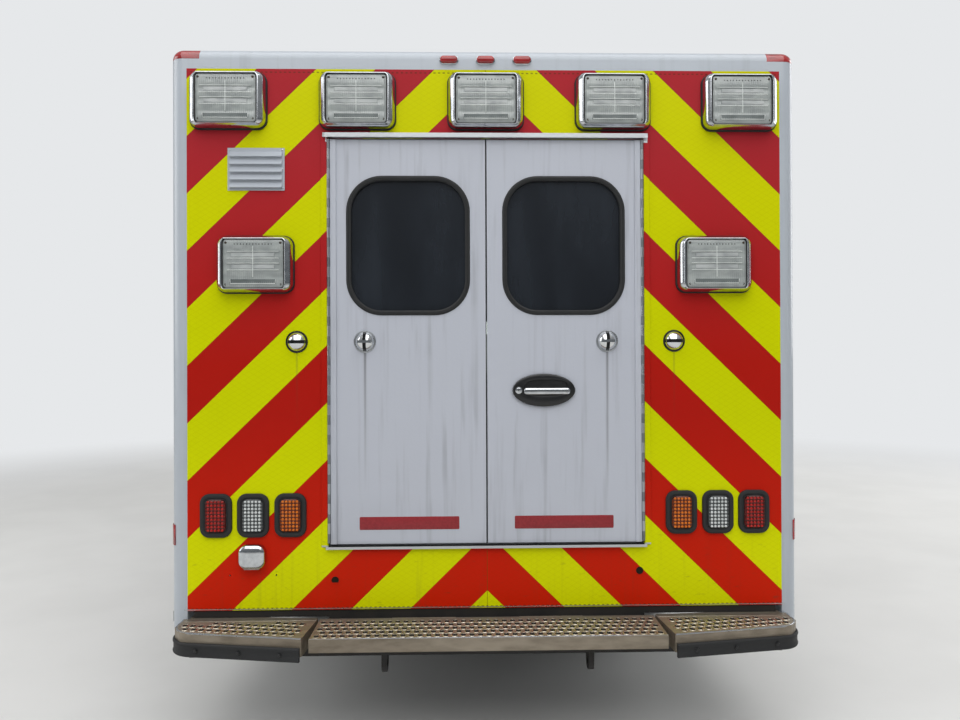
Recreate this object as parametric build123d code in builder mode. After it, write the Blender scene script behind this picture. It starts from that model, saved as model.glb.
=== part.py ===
"""Box ambulance on a cutaway van chassis, as an assembly of separate pieces, in millimetres.

+Y is forward, +X is the vehicle's right (kerb) side, +Z is up.
The origin is on the ground, at the middle of the overall length and width.
"""

import os
from math import hypot

from build123d import *

os.makedirs("parts", exist_ok=True)

# Overall layout
module_width = 2438.0
module_length = 4184.0
wheelbase = 4013.0
front_overhang = 760.0
rear_overhang = 1700.0
step_depth = 225.0
overall_length = front_overhang + wheelbase + rear_overhang + step_depth
front_y = overall_length / 2
front_axle_y = front_y - front_overhang
rear_axle_y = front_axle_y - wheelbase
rear_y = rear_axle_y - rear_overhang
module_front_y = rear_y + module_length
half = module_width / 2

# Module body: posts at the corners, plates between them, one roof and one floor
wall = 50.0
post = 67.0
post_radius = 50.0
roof_top = 2725.0
roof_thickness = 82.0
roof_radius = 40.0
wall_top = roof_top - roof_thickness
skirt_z = 480.0
rear_panel_bottom = 556.0
floor_top = 800.0
floor_thickness = 60.0
floor_bottom = floor_top - floor_thickness
hinge_gap = 5.0
seat_clearance = 0.3

# Rear doors: a pair of equal leaves, hinged at their outer edges
rear_door_half = 606.0
rear_door_bottom = floor_top + 7.0
rear_door_top = roof_top - 355.0
rear_window = {
    "centre_x": 302.0,
    "centre_z": rear_door_top - 410.0,
    "width": 453.0,
    "height": 515.0,
    "radius": 125.0,
}
rear_sill_z = rear_window["centre_z"] - rear_window["height"] / 2
rear_hinge_proud = 6.0
glass_thickness = 6.0

# Wheels and tyres
tyre_radius = 372.0
tyre_width = 224.0
rim_radius = 203.0
rim_width = 160.0
kingpin_x = 800.0
front_wheel_x = 880.0
dual_middle_x = 900.0
dual_spacing = 254.0
arch_radius = 480.0
front_arch_radius = 455.0

# Chassis frame
rail_x = 430.0
rail_flange = 75.0
rail_height = 180.0
rail_wall = 7.0
mount_height = 20.0
rail_top = floor_bottom - mount_height
rail_bottom = rail_top - rail_height

# Cab
cab_half = 1015.0
cab_shoulder_half = 925.0
belt_z = 1180.0
cab_wall = 50.0
cab_bottom = 520.0
cab_roof = 2085.0
cowl = (front_y - 1019.0, 1290.0)
windshield_top = (front_y - 1499.0, 2035.0)
nose_y = front_y - 95.0
nose_top = 1000.0
nose_bottom = 560.0
firewall_y = front_y - 989.0
firewall_thickness = 30.0
cab_floor_top = 780.0
# Width of the fenders' tops beside the hood, at its rear and its front
fender_tops = (175.0, 235.0)
hood_half = (cab_half - fender_tops[0], cab_half - fender_tops[1])


def save(part, name):
    """Labels a finished piece and writes it as one STEP file."""
    part.label = name
    export_step(part, f"parts/{name}.step")


def block(x, y, z, mode=Mode.ADD):
    """A box between a low and a high limit on each axis."""
    middle = ((x[0] + x[1]) / 2, (y[0] + y[1]) / 2, (z[0] + z[1]) / 2)
    with Locations(middle):
        Box(x[1] - x[0], y[1] - y[0], z[1] - z[0], mode=mode)


def span(sign, near, far):
    """Low and high x limits of something between two distances from the middle plane, on one side."""
    return (near, far) if sign > 0 else (-far, -near)


def rod_x(centre, radius, length, mode=Mode.ADD):
    """A cylinder along X."""
    with Locations(centre):
        Cylinder(radius, length, rotation=(0, 90, 0), mode=mode)


def rear_plane(out=0.0):
    """Sketch plane on the module's rear face: x across, y up, normal rearwards."""
    return Plane(origin=(0, rear_y - out, 0), x_dir=(1, 0, 0), z_dir=(0, -1, 0))


def side_plane(sign, x=half):
    """Sketch plane on a side: local x is sign times Y, local y is up, normal outwards."""
    return Plane(origin=(sign * x, 0, 0), x_dir=(0, sign, 0), z_dir=(sign, 0, 0))


def side_rect(sign, y, z, radius=0.0, mode=Mode.ADD):
    """A rectangle on a side plane between limits in y and z, to be used inside BuildSketch."""
    with Locations((sign * (y[0] + y[1]) / 2, (z[0] + z[1]) / 2)):
        if radius:
            RectangleRounded(y[1] - y[0], z[1] - z[0], radius, mode=mode)
        else:
            Rectangle(y[1] - y[0], z[1] - z[0], mode=mode)


def grown(limits, by):
    """Limits moved apart by a clearance on each end."""
    return (limits[0] - by, limits[1] + by)


# Door and lid hinges: knuckles in turn on one pin line, on a leaf at each panel's face
hinge_radius = 5.5
hinge_proud = 6.0
hinge_leaf = 4.0
hinge_reach = 26.0
hinge_knuckles = 5
hinge_play = 0.3


def hinge_half(middle, outward, towards, length, moving, radius=hinge_radius, proud=hinge_proud, bite=0.0):
    """One half of a hinge: its pin line stands proud of the panels, and its leaf reaches towards its own."""
    x_dir = Vector(*towards)
    y_dir = Vector(*outward) * -1
    plane = Plane(origin=middle, x_dir=x_dir, z_dir=x_dir.cross(y_dir))
    pitch = length / hinge_knuckles
    with BuildPart() as leaf:
        for n in range(hinge_knuckles):
            if (n % 2 == 1) == moving:
                with BuildSketch(plane.offset(-length / 2 + n * pitch + hinge_play / 2)):
                    Circle(radius)
                    with Locations((hinge_reach / 2, proud - (hinge_leaf - bite) / 2)):
                        Rectangle(hinge_reach, hinge_leaf + bite)
                extrude(amount=pitch - hinge_play)
    return leaf.part


# Locker doors. Columns: name, side, y limits, z limits, hinge end (+1 front, -1 rear)
lockers = [
    ("locker_front_left", -1, (module_front_y - 730, module_front_y - 130), (560.0, 2090.0), 1),
    ("locker_mid_left", -1, (module_front_y - 1840, module_front_y - 860), (560.0, 1330.0), 1),
    ("locker_rear_left", -1, (rear_y + 224, rear_y + 1064), (560.0, 2090.0), -1),
    ("locker_rear_right", 1, (rear_y + 224, rear_y + 1064), (560.0, 2090.0), -1),
]
locker_depth = 480.0
liner_wall = 12.0
liner_inner_x = half - wall - locker_depth

# Entry door on the right side, with its step well
entry_y = (module_front_y - 1390, module_front_y - 580)
entry_z = (500.0, 2260.0)
entry_window = {"y": (entry_y[0] + 200, entry_y[1] - 200), "z": (1500.0, 2060.0), "radius": 90.0}
well_depth = 300.0
well_floor_z = 500.0

# Fixed module windows. Columns: side, y limits, z limits
fixed_windows = [
    (-1, (rear_y + 1424, rear_y + 2024), (1560.0, 1960.0)),
    (1, (rear_y + 1374, rear_y + 2174), (1560.0, 1960.0)),
]
fixed_window_radius = 80.0

# ladder frame
with BuildPart() as frame_rails:
    rail_front_y = nose_y - 80.0
    rail_rear_y = rear_y + 120.0
    with BuildSketch(Plane(origin=(0, rail_front_y, 0), x_dir=(1, 0, 0), z_dir=(0, -1, 0))):
        with Locations((rail_x - rail_flange / 2, (rail_top + rail_bottom) / 2)):
            Rectangle(rail_flange, rail_height)
        with Locations((rail_x - rail_wall - rail_flange / 2, (rail_top + rail_bottom) / 2)):
            Rectangle(rail_flange, rail_height - 2 * rail_wall, mode=Mode.SUBTRACT)
    extrude(amount=rail_front_y - rail_rear_y)
    mirror(about=Plane.YZ)
save(frame_rails.part, "frame_rails")

spring_width = 65.0
step_top = 526.0
step_half = 642.0
step_pin_y = rear_y - 12.0
step_front_y = step_pin_y - hinge_proud


def step_hinge(moving):
    """Half of the folding step's hinge: one leaf stands on the beam, the other lies on the pan."""
    middle = (0, step_pin_y, step_top - hinge_proud)
    if moving:
        return hinge_half(middle, (0, 1, 0), (0, 0, -1), 2 * step_half - 60, True)
    return hinge_half(middle, (0, 0, 1), (0, 1, 0), 2 * step_half - 60, False)


tow_eye_radius = 20.0
tow_eye_drop = 38.0
tow_eye_thickness = 20.0
spring_low = 430.0
spring_end_z = (505.0, 517.0)
# Leaf springs. Columns: axle y, middle x, half length
springs = [(front_axle_y, 479.5, 480.0), (rear_axle_y, 517.5, 650.0)]
cross_half_y = 30.0
# Middles of the cross members along the frame
cross_ys = [nose_y - 120.0, rear_y + 4024, rear_y + 2624, rear_y + 1124, rear_y + 224]
# Middles of the body mounts along the frame
mount_ys = [rear_y + along for along in (4624.0, 3924.0, 3124.0, 2324.0, 1024.0, 324.0)]
mount_radius = 34.0
beam_y = (rear_y - 70.0, rear_y + 14.0)
beam_z = (405.0, 460.0)
beam_half = 1120.0
splash_half = 1130.0
splash_thickness = 8.0
splash_z = (step_top + 1.0, rear_panel_bottom - 3.0)


def tow_eye(sign, y, top_z):
    """Adds a rounded plate with a hole, hanging under a beam's lower face, to the current part."""
    x = sign * (rail_x - rail_flange / 2)
    ear = 2 * (tow_eye_radius + 18)
    plane = Plane(origin=(x - tow_eye_thickness / 2, y, top_z), x_dir=(0, 1, 0), z_dir=(1, 0, 0))
    with BuildSketch(plane) as eye:
        with Locations((0, -tow_eye_drop)):
            Circle(ear / 2)
        with Locations((0, -tow_eye_drop / 2 + 1)):
            Rectangle(ear, tow_eye_drop + 2)
        with Locations((0, -tow_eye_drop)):
            Circle(tow_eye_radius, mode=Mode.SUBTRACT)
    extrude(eye.sketch, amount=tow_eye_thickness)


with BuildPart() as cross_members:
    web_x = rail_x - rail_wall
    for y in cross_ys:
        block((-web_x, web_x), (y - cross_half_y, y + cross_half_y), (rail_bottom + 50, rail_top - 20))
    for sign in (-1, 1):
        for y in mount_ys:
            with Locations((sign * (rail_x - rail_flange / 2), y, rail_top + mount_height / 2)):
                Cylinder(mount_radius, mount_height)
        for axle_y, spring_x, spring_half in springs:
            for end in (-1, 1):
                near = axle_y + end * spring_half
                far = near + end * 40.0
                block(
                    span(sign, rail_x, spring_x + spring_width / 2),
                    (min(near, far), max(near, far)),
                    (spring_end_z[0] - 8, rail_bottom + 90),
                )
        # arms under the rails, out to the rear beam
        arm_x = span(sign, rail_x - rail_flange, rail_x)
        block(arm_x, (beam_y[0], rail_rear_y + 200), (beam_z[0] + 10, beam_z[1]))
        block(arm_x, (rail_rear_y, rail_rear_y + 200), (beam_z[0] + 10, rail_bottom))
    block((-beam_half, beam_half), beam_y, beam_z)
    # tow eyes under the rear beam
    for sign in (-1, 1):
        tow_eye(sign, beam_y[0] + 40, beam_z[0])
    # stand of the folding step's hinge, up to the splash plate that closes the slot under the rear panel
    stand_half = step_half - 30
    block((-stand_half, stand_half), (step_pin_y + hinge_proud, beam_y[1]), (beam_z[1], step_top - 10))
    splash_y = (beam_y[1] - splash_thickness, beam_y[1])
    block((-stand_half, stand_half), splash_y, (step_top - 10, splash_z[0]))
    block((-splash_half, splash_half), splash_y, splash_z)
    add(step_hinge(False))
save(cross_members.part, "cross_members")

# power train
engine_half = 300.0
engine_y = (front_y - 940.0, front_y - 300.0)
engine_z = (560.0, 930.0)
engine_mount_z = (570.0, 610.0)
with BuildPart() as engine_block:
    block((-engine_half, engine_half), engine_y, engine_z)
    block((-web_x, web_x), (engine_y[1] - 200, engine_y[1] - 120), engine_mount_z)
save(engine_block.part, "engine_block")

gearbox_z = 600.0
# Gearbox. Columns: radius, length
gearbox_cases = [(134.0, 140.0), (112.0, 330.0), (70.0, 180.0)]
diff_radius = 160.0
diff_nose_y = rear_axle_y + 190.0
shaft_radius = 38.0
hub_z = tyre_radius
with BuildPart() as driveline:
    # bell housing, gear case and tail housing behind each other
    case_y = engine_y[0]
    for radius, length in gearbox_cases:
        with BuildSketch(Plane(origin=(0, case_y, gearbox_z), x_dir=(1, 0, 0), z_dir=(0, -1, 0))):
            Circle(radius)
        extrude(amount=length)
        case_y -= length
    run_y = case_y - diff_nose_y
    fall = gearbox_z - hub_z
    shaft_plane = Plane(origin=(0, diff_nose_y, hub_z), x_dir=(1, 0, 0), z_dir=(0, run_y, fall))
    with BuildSketch(shaft_plane):
        Circle(shaft_radius)
    extrude(amount=hypot(run_y, fall) + 20)
    block((-80, 80), (diff_nose_y - 60, diff_nose_y), (hub_z - 80, hub_z + 80), mode=Mode.SUBTRACT)
save(driveline.part, "driveline")

axle_tube_radius = 48.0
spindle_radius = 38.0
running = 0.05
spindle_end = dual_middle_x + 70.0
with BuildPart() as rear_axle:
    rod_x((0, rear_axle_y, hub_z), axle_tube_radius, 2 * 640)
    rod_x((0, rear_axle_y, hub_z), spindle_radius, 2 * spindle_end)
    with Locations((0, rear_axle_y, hub_z)):
        Cylinder(diff_radius, 200, rotation=(90, 0, 0))
    rims = rear_axle.edges().filter_by(GeomType.CIRCLE)
    chamfer(rims.filter_by(lambda e: abs(e.radius - diff_radius) < 1), 40)
    with Locations((0, (rear_axle_y + diff_nose_y) / 2, hub_z)):
        Cylinder(70, diff_nose_y - rear_axle_y, rotation=(90, 0, 0))
    for sign in (-1, 1):
        x = springs[1][1]
        block(
            span(sign, x - spring_width / 2, x + spring_width / 2),
            (rear_axle_y - 55, rear_axle_y + 55),
            (hub_z, spring_low),
        )
save(rear_axle.part, "rear_axle")

boss_radius = 36.0
boss_z = (320.0, 424.0)
pin_radius = 17.0
beam_axle_z = (330.0, 400.0)
with BuildPart() as front_axle:
    block((-kingpin_x, kingpin_x), (front_axle_y - 40, front_axle_y + 40), beam_axle_z)
    for sign in (-1, 1):
        fork_x = span(sign, kingpin_x - 5, kingpin_x + 50)
        block(fork_x, (front_axle_y - 60, front_axle_y + 60), (300, 440), mode=Mode.SUBTRACT)
        with Locations((sign * kingpin_x, front_axle_y, sum(boss_z) / 2)):
            Cylinder(boss_radius, boss_z[1] - boss_z[0])
            Cylinder(pin_radius, boss_z[1] - boss_z[0], mode=Mode.SUBTRACT)
        x = springs[0][1]
        block(
            span(sign, x - spring_width / 2, x + spring_width / 2),
            (front_axle_y - 40, front_axle_y + 40),
            (beam_axle_z[1], spring_low),
        )
save(front_axle.part, "front_axle")

with BuildPart() as leaf_springs:
    for axle_y, spring_x, spring_half in springs:
        plane = Plane(origin=(spring_x - spring_width / 2, axle_y, 0), x_dir=(0, 1, 0), z_dir=(1, 0, 0))
        low_z, high_z = spring_end_z
        with BuildSketch(plane):
            with BuildLine():
                ThreePointArc((-spring_half, low_z), (0, spring_low), (spring_half, low_z))
                Line((spring_half, low_z), (spring_half, high_z))
                ThreePointArc((spring_half, high_z), (0, spring_low + 45), (-spring_half, high_z))
                Line((-spring_half, high_z), (-spring_half, low_z))
            make_face()
        extrude(amount=spring_width)
    mirror(about=Plane.YZ)
save(leaf_springs.part, "leaf_springs")

with BuildPart() as fuel_tank:
    block((-300, 300), (cross_ys[4] + cross_half_y, cross_ys[3] - cross_half_y), (410, 700))
    fillet(fuel_tank.edges().filter_by(Axis.Y), 50)
save(fuel_tank.part, "fuel_tank")

pipe_radius = 36.0
pipe_x = 540.0
pipe_z = 440.0
pipe_in_x = 220.0
with BuildPart() as exhaust:
    with BuildLine() as pipe_path:
        FilletPolyline(
            (pipe_in_x, engine_y[0] + 100, engine_z[0] - 0.5),
            (pipe_in_x, engine_y[0] + 100, pipe_z),
            (pipe_in_x, front_axle_y - 850, pipe_z),
            (pipe_x, front_axle_y - 1250, pipe_z),
            (pipe_x, rear_axle_y + 804, pipe_z),
            (half - 20, rear_axle_y + 784, pipe_z),
            radius=55,
        )
    with BuildSketch(Plane(origin=pipe_path.line @ 0, z_dir=pipe_path.line % 0)):
        Circle(pipe_radius)
    sweep()
    with Locations((pipe_x, rear_axle_y + 1524, pipe_z)):
        Cylinder(105, 700, rotation=(90, 0, 0))
save(exhaust.part, "exhaust")

# wheels and hubs


def ring_face(sign, middle, axle_y, outline):
    """A ring's half section on an axle: the outline is (distance outboard of the middle, radius)."""
    plane = Plane(origin=(sign * middle, axle_y, hub_z), x_dir=(1, 0, 0), z_dir=(0, -1, 0))
    with BuildSketch(plane) as section:
        with BuildLine():
            Polyline(*[(sign * a, r) for a, r in outline], close=True)
        make_face()
    return section.sketch


def make_tyres(middles, sign, axle_y):
    """Tyres on one hub, as solids that don't touch: square-shouldered, from the rim's seat to the tread."""
    seat = rim_radius + seat_clearance
    side = tyre_width / 2
    outline = [(-side, seat), (side, seat), (side, tyre_radius), (-side, tyre_radius)]
    with BuildPart() as tyres:
        for middle in middles:
            revolve(ring_face(sign, middle, axle_y, outline), axis=Axis((0, axle_y, hub_z), (1, 0, 0)))
    return tyres.part


front_bore = 30.0
hand_holes = 8
for side, sign in (("left", -1), ("right", 1)):
    save(make_tyres([front_wheel_x], sign, front_axle_y), f"front_tyre_{side}")
    duals = [dual_middle_x - dual_spacing / 2, dual_middle_x + dual_spacing / 2]
    save(make_tyres(duals, sign, rear_axle_y), f"rear_tyres_{side}")

    edge = rim_width / 2
    with BuildPart() as front_rim:
        outline = [
            (-edge, rim_radius - 10), (-edge, rim_radius), (edge, rim_radius), (edge, rim_radius - 10),
            (50, rim_radius - 10), (66, 110), (66, 60), (96, 60), (96, 0), (72, 0),
            (72, front_bore + running), (12, front_bore + running), (12, 60), (54, 60), (54, 110),
            (34, rim_radius - 10),
        ]
        face = ring_face(sign, front_wheel_x, front_axle_y, outline)
        revolve(face, axis=Axis((0, front_axle_y, hub_z), (1, 0, 0)))
        for turn in range(hand_holes):
            middle = (sign * (front_wheel_x + 20), front_axle_y, hub_z)
            spoke = Plane(origin=middle, x_dir=(0, 1, 0), z_dir=(1, 0, 0))
            with BuildSketch(spoke.rotated((0, 0, turn * 360 / hand_holes))):
                with Locations((148, 0)):
                    Circle(20)
            extrude(amount=60, both=True, mode=Mode.SUBTRACT)
    save(front_rim.part, f"front_rim_{side}")

    far = dual_spacing / 2
    with BuildPart() as rear_rims:
        outline = [
            (-far - edge, rim_radius - 12), (-far - edge, rim_radius), (far + edge, rim_radius),
            (far + edge, rim_radius - 12), (34, rim_radius - 12), (12, 120), (12, 66), (95, 66), (95, 0),
            (80, 0),
            (80, spindle_radius + running), (-60, spindle_radius + running), (-60, 66), (-12, 66),
            (-12, 120), (-34, rim_radius - 12),
        ]
        face = ring_face(sign, dual_middle_x, rear_axle_y, outline)
        revolve(face, axis=Axis((0, rear_axle_y, hub_z), (1, 0, 0)))
        for turn in range(hand_holes):
            middle = (sign * dual_middle_x, rear_axle_y, hub_z)
            spoke = Plane(origin=middle, x_dir=(0, 1, 0), z_dir=(1, 0, 0))
            with BuildSketch(spoke.rotated((0, 0, turn * 360 / hand_holes))):
                with Locations((148, 0)):
                    Circle(20)
            extrude(amount=45, both=True, mode=Mode.SUBTRACT)
    save(rear_rims.part, f"rear_rims_{side}")

    with BuildPart() as knuckle:
        ear_gap = 0.6
        ears = [(boss_z[0] - 28, boss_z[0] - ear_gap), (boss_z[1] + ear_gap, boss_z[1] + 28)]
        for low, high in ears:
            with Locations((sign * kingpin_x, front_axle_y, (low + high) / 2)):
                Cylinder(boss_radius, high - low)
            block(span(sign, kingpin_x, kingpin_x + 62), (front_axle_y - 34, front_axle_y + 34), (low, high))
        with Locations((sign * kingpin_x, front_axle_y, sum(boss_z) / 2)):
            Cylinder(pin_radius - running, boss_z[1] - boss_z[0] + 40)
        block(
            span(sign, kingpin_x + boss_radius + 6, kingpin_x + 62),
            (front_axle_y - 34, front_axle_y + 34),
            (ears[0][0], ears[1][1]),
        )
        rod_x((sign * (kingpin_x + 62 + 44), front_axle_y, hub_z), front_bore, 88)
    save(knuckle.part, f"knuckle_{side}")

# cab body, worked out as three outlines that cross


def rounded_face(plane, corners, inset=0.0):
    """A face on a plane, from corners given as (x, y, rounding radius), drawn in by an inset."""
    with BuildSketch(plane) as face:
        with BuildLine():
            Polyline(*[(x, y) for x, y, _ in corners], close=True)
        make_face()
        for x, y, radius in corners:
            if radius:
                fillet(face.vertices().sort_by_distance((x, y, 0))[0], radius)
        if inset:
            offset(amount=-inset, kind=Kind.INTERSECTION)
    return face.sketch


cab_back_y = module_front_y - 300.0
cab_plan = [
    (-cab_half, cab_back_y, 0), (-cab_half, nose_y - 130, 90), (-cab_half + 150, nose_y - 12, 90),
    (0, nose_y + 8, 0), (cab_half - 150, nose_y - 12, 90), (cab_half, nose_y - 130, 90),
    (cab_half, cab_back_y, 0),
]


def cab_body(inset):
    """The cab's and nose's outer form, or its hollow: drawn in by an inset, open behind and below."""
    drop = 2 * inset
    side_face = rounded_face(
        Plane.YZ,
        [
            (cab_back_y, cab_bottom - drop, 0), (nose_y - 60, cab_bottom - drop, 0),
            (nose_y, nose_bottom - drop, 0), (nose_y - 14, nose_top, 70), (*cowl, 0),
            (*windshield_top, 110), (cab_back_y, cab_roof, 0),
        ],
        inset,
    )
    front_face = rounded_face(
        Plane.XZ,
        [
            (cab_half, 300, 0), (cab_half, belt_z, 0), (cab_shoulder_half, cab_roof, 110),
            (-cab_shoulder_half, cab_roof, 110), (-cab_half, belt_z, 0), (-cab_half, 300, 0),
        ],
        inset,
    )
    plan_face = rounded_face(Plane.XY, cab_plan, inset)
    with BuildPart() as across:
        extrude(front_face, amount=front_y + 200, both=True)
    with BuildPart() as above:
        extrude(plan_face, amount=cab_roof + 100)
    with BuildPart() as body:
        extrude(side_face, amount=cab_half + 50, both=True)
        add(across.part, mode=Mode.INTERSECT)
        add(above.part, mode=Mode.INTERSECT)
    return body.part


# the cab's form, with the upper outer edges of its fenders and nose rounded
fender_radius = 45.0
with BuildPart() as cab_form:
    add(cab_body(0))
    crest_edges = []
    for edge in cab_form.edges():
        middle = edge.center()
        if abs(middle.X) > hood_half[0] and middle.Y > cowl[0] and middle.Z > nose_top:
            crest_edges.append(edge)
    fillet(crest_edges, fender_radius)

cab_outer = cab_form.part
cab_inner = cab_body(cab_wall)
glass_outer = cab_body(20)
glass_inner = cab_body(20 + glass_thickness)

# cab door outline on the side, in y and z; its front edge follows the windshield pillar
door_y = (module_front_y + 80.0, front_axle_y - 479.0)
door_z = (560.0, 1960.0)
windshield_run = (windshield_top[0] - cowl[0]) / (windshield_top[1] - cowl[1])
pillar = 100.0


def pillar_y(z):
    """Y of the line that lies one pillar width behind the windshield, at a height."""
    return cowl[0] + (z - cowl[1]) * windshield_run - pillar


pillar_bend_z = cowl[1] + (door_y[1] + pillar - cowl[0]) / windshield_run
door_outline = [
    (door_y[0], door_z[0]), (door_y[1], door_z[0]), (door_y[1], pillar_bend_z),
    (pillar_y(door_z[1]), door_z[1]), (door_y[0], door_z[1]),
]
window_z = (1270.0, 1890.0)
window_front_y = door_y[1] - 75
window_bend_z = cowl[1] + (window_front_y + pillar + 75 - cowl[0]) / windshield_run
window_outline = [
    (door_y[0] + 75, window_z[0]), (window_front_y, window_z[0]), (window_front_y, window_bend_z),
    (pillar_y(window_z[1]) - 75, window_z[1]), (door_y[0] + 75, window_z[1]),
]
cab_gap = 7.0


def side_prism(outline, sign, growth, corner, x=(700.0, 1200.0)):
    """A prism across one side of the cab, from an outline in y and z, grown or shrunk by an offset."""
    plane = Plane(origin=(sign * x[0], 0, 0), x_dir=(0, sign, 0), z_dir=(sign, 0, 0))
    face = rounded_face(plane, [(sign * y, z, corner) for y, z in outline], -growth)
    with BuildPart() as prism:
        extrude(face, amount=x[1] - x[0])
    return prism.part


door_cuts = {sign: side_prism(door_outline, sign, cab_gap, 0) for sign in (-1, 1)}
door_leaves = {sign: side_prism(door_outline, sign, 0, 0) for sign in (-1, 1)}
window_cuts = {sign: side_prism(window_outline, sign, 0, 45) for sign in (-1, 1)}
window_panes = {sign: side_prism(window_outline, sign, -seat_clearance, 45) for sign in (-1, 1)}

cab_hinge_proud = 2.0
cab_hinge_radius = 3.2
cab_hinge_z = (620.0, 1120.0)
mirror_z = (1330.0, 1690.0)


def cab_door_hinge(sign, moving):
    """Half of a cab door's hinge, in the gap at its front edge."""
    middle = (sign * (cab_half + cab_hinge_proud), door_y[1] + cab_gap / 2, sum(cab_hinge_z) / 2)
    towards = (0, -1, 0) if moving else (0, 1, 0)
    length = cab_hinge_z[1] - cab_hinge_z[0]
    return hinge_half(middle, (sign, 0, 0), towards, length, moving, cab_hinge_radius, cab_hinge_proud, 4.0)


# windshield opening on the sloping front
slope_length = hypot(windshield_top[0] - cowl[0], windshield_top[1] - cowl[1])
slope_up = ((windshield_top[0] - cowl[0]) / slope_length, (windshield_top[1] - cowl[1]) / slope_length)
screen_plane = Plane(
    origin=(0, (cowl[0] + windshield_top[0]) / 2, (cowl[1] + windshield_top[1]) / 2),
    x_dir=(-1, 0, 0),
    z_dir=(0, slope_up[1], -slope_up[0]),
)
screen_low = (1760.0, -slope_length / 2 + 70)
screen_high = (1560.0, slope_length / 2 - 75)


def screen_solid(shrink, depth):
    """The windshield's outline, extruded through the sloping front, so far outwards and so far inwards."""
    low, high = screen_low, screen_high
    face = rounded_face(
        screen_plane,
        [
            (-low[0] / 2, low[1], 60), (low[0] / 2, low[1], 60),
            (high[0] / 2, high[1], 60), (-high[0] / 2, high[1], 60),
        ],
        shrink,
    )
    with BuildPart() as screen:
        if depth[0]:
            extrude(face, amount=depth[0])
        extrude(face, amount=-depth[1])
    return screen.part


screen_cut = screen_solid(0, (60, 120))

with BuildPart() as arch_voids:
    for sign in (-1, 1):
        rod_x((sign * (cab_half - 235), front_axle_y, hub_z), front_arch_radius + 21, 540)

hood_rear_y = firewall_y + 6.0
hood_hinge_x = 640.0
hood_hinge_length = 200.0
hood_slope = Vector(0, nose_y - 14 - cowl[0], nose_top - cowl[1]).normalized()


def hood_hinge(sign, moving):
    """Half of one of the hood's two hinges, in the gap at its rear edge."""
    pin_y = (firewall_y + hood_rear_y) / 2
    surface = Vector(sign * hood_hinge_x, pin_y, cowl[1] + (pin_y - cowl[0]) * hood_slope.Z / hood_slope.Y)
    outward = Vector(0, -hood_slope.Z, hood_slope.Y)
    towards = hood_slope if moving else hood_slope * -1
    pin = surface + outward * cab_hinge_proud
    return hinge_half(pin, outward, towards, hood_hinge_length, moving, 2.7, cab_hinge_proud, 4.0)


# floor, firewall and the step wells at the doors
step_well = 165.0
well_x = cab_half - cab_wall - step_well
tub_half = cab_half - 10
well_y = (door_y[0] + 10, door_y[1] - 20)
far_x = (-cab_half - 300, cab_half + 300)
far_z = (0.0, roof_top + 300)
with BuildPart() as tub:
    block((-tub_half, tub_half), (module_front_y, firewall_y), (floor_bottom, cab_floor_top))
    block((-tub_half, tub_half), (firewall_y - firewall_thickness, firewall_y), (cab_floor_top, cowl[1]))
    for sign in (-1, 1):
        block(span(sign, well_x, tub_half), well_y, (cab_bottom + 40, cab_floor_top), mode=Mode.SUBTRACT)
        block(span(sign, well_x - 15, well_x), well_y, (cab_bottom, cab_floor_top))
        sill_z = (cab_bottom, door_z[0] - cab_gap - 3)
        block(span(sign, well_x, cab_half - 8), (module_front_y, door_y[1] - 4), sill_z)
    add(cab_outer, mode=Mode.INTERSECT)

with BuildPart() as cab_shell:
    add(cab_outer)
    add(cab_inner, mode=Mode.SUBTRACT)
    block(far_x, (cab_back_y - 100, module_front_y), far_z, mode=Mode.SUBTRACT)
    block(far_x, (firewall_y, front_y + 100), far_z, mode=Mode.SUBTRACT)
    add(screen_cut, mode=Mode.SUBTRACT)
    add(tub.part)
    for sign in (-1, 1):
        add(door_cuts[sign], mode=Mode.SUBTRACT)
    add(arch_voids.part, mode=Mode.SUBTRACT)
    for sign in (-1, 1):
        add(cab_door_hinge(sign, False))
        add(hood_hinge(sign, False))
save(cab_shell.part, "cab_shell")

for side, sign in (("left", -1), ("right", 1)):
    with BuildPart() as cab_door:
        add(cab_outer)
        add(cab_inner, mode=Mode.SUBTRACT)
        add(door_leaves[sign], mode=Mode.INTERSECT)
        add(window_cuts[sign], mode=Mode.SUBTRACT)
        # handle, as a bar on two feet
        handle_y = door_y[0] + 150
        block(span(sign, cab_half - 5, cab_half + 30), (handle_y - 80, handle_y - 60), (1075, 1105))
        block(span(sign, cab_half - 5, cab_half + 30), (handle_y + 60, handle_y + 80), (1075, 1105))
        block(span(sign, cab_half + 20, cab_half + 32), (handle_y - 80, handle_y + 80), (1075, 1105))
        add(cab_door_hinge(sign, True))
    save(cab_door.part, f"cab_door_{side}")

    with BuildPart() as cab_glass:
        add(glass_outer)
        add(glass_inner, mode=Mode.SUBTRACT)
        add(window_panes[sign], mode=Mode.INTERSECT)
    save(cab_glass.part, f"cab_glass_{side}")

    with BuildPart() as mirror_unit:
        mirror_y = door_y[1] - 60
        block(span(sign, cab_half + 90, cab_half + 285), (mirror_y - 30, mirror_y + 40), mirror_z)
        fillet(mirror_unit.edges().filter_by(Axis.Z), 22)
        for z in (mirror_z[0] + 40, mirror_z[1] - 130):
            arm_x = span(sign, cab_half - 115, cab_half + 135)
            block(arm_x, (mirror_y - 15, mirror_y + 15), (z - 15, z + 15))
        add(cab_outer, mode=Mode.SUBTRACT)
    save(mirror_unit.part, f"mirror_{side}")

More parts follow.
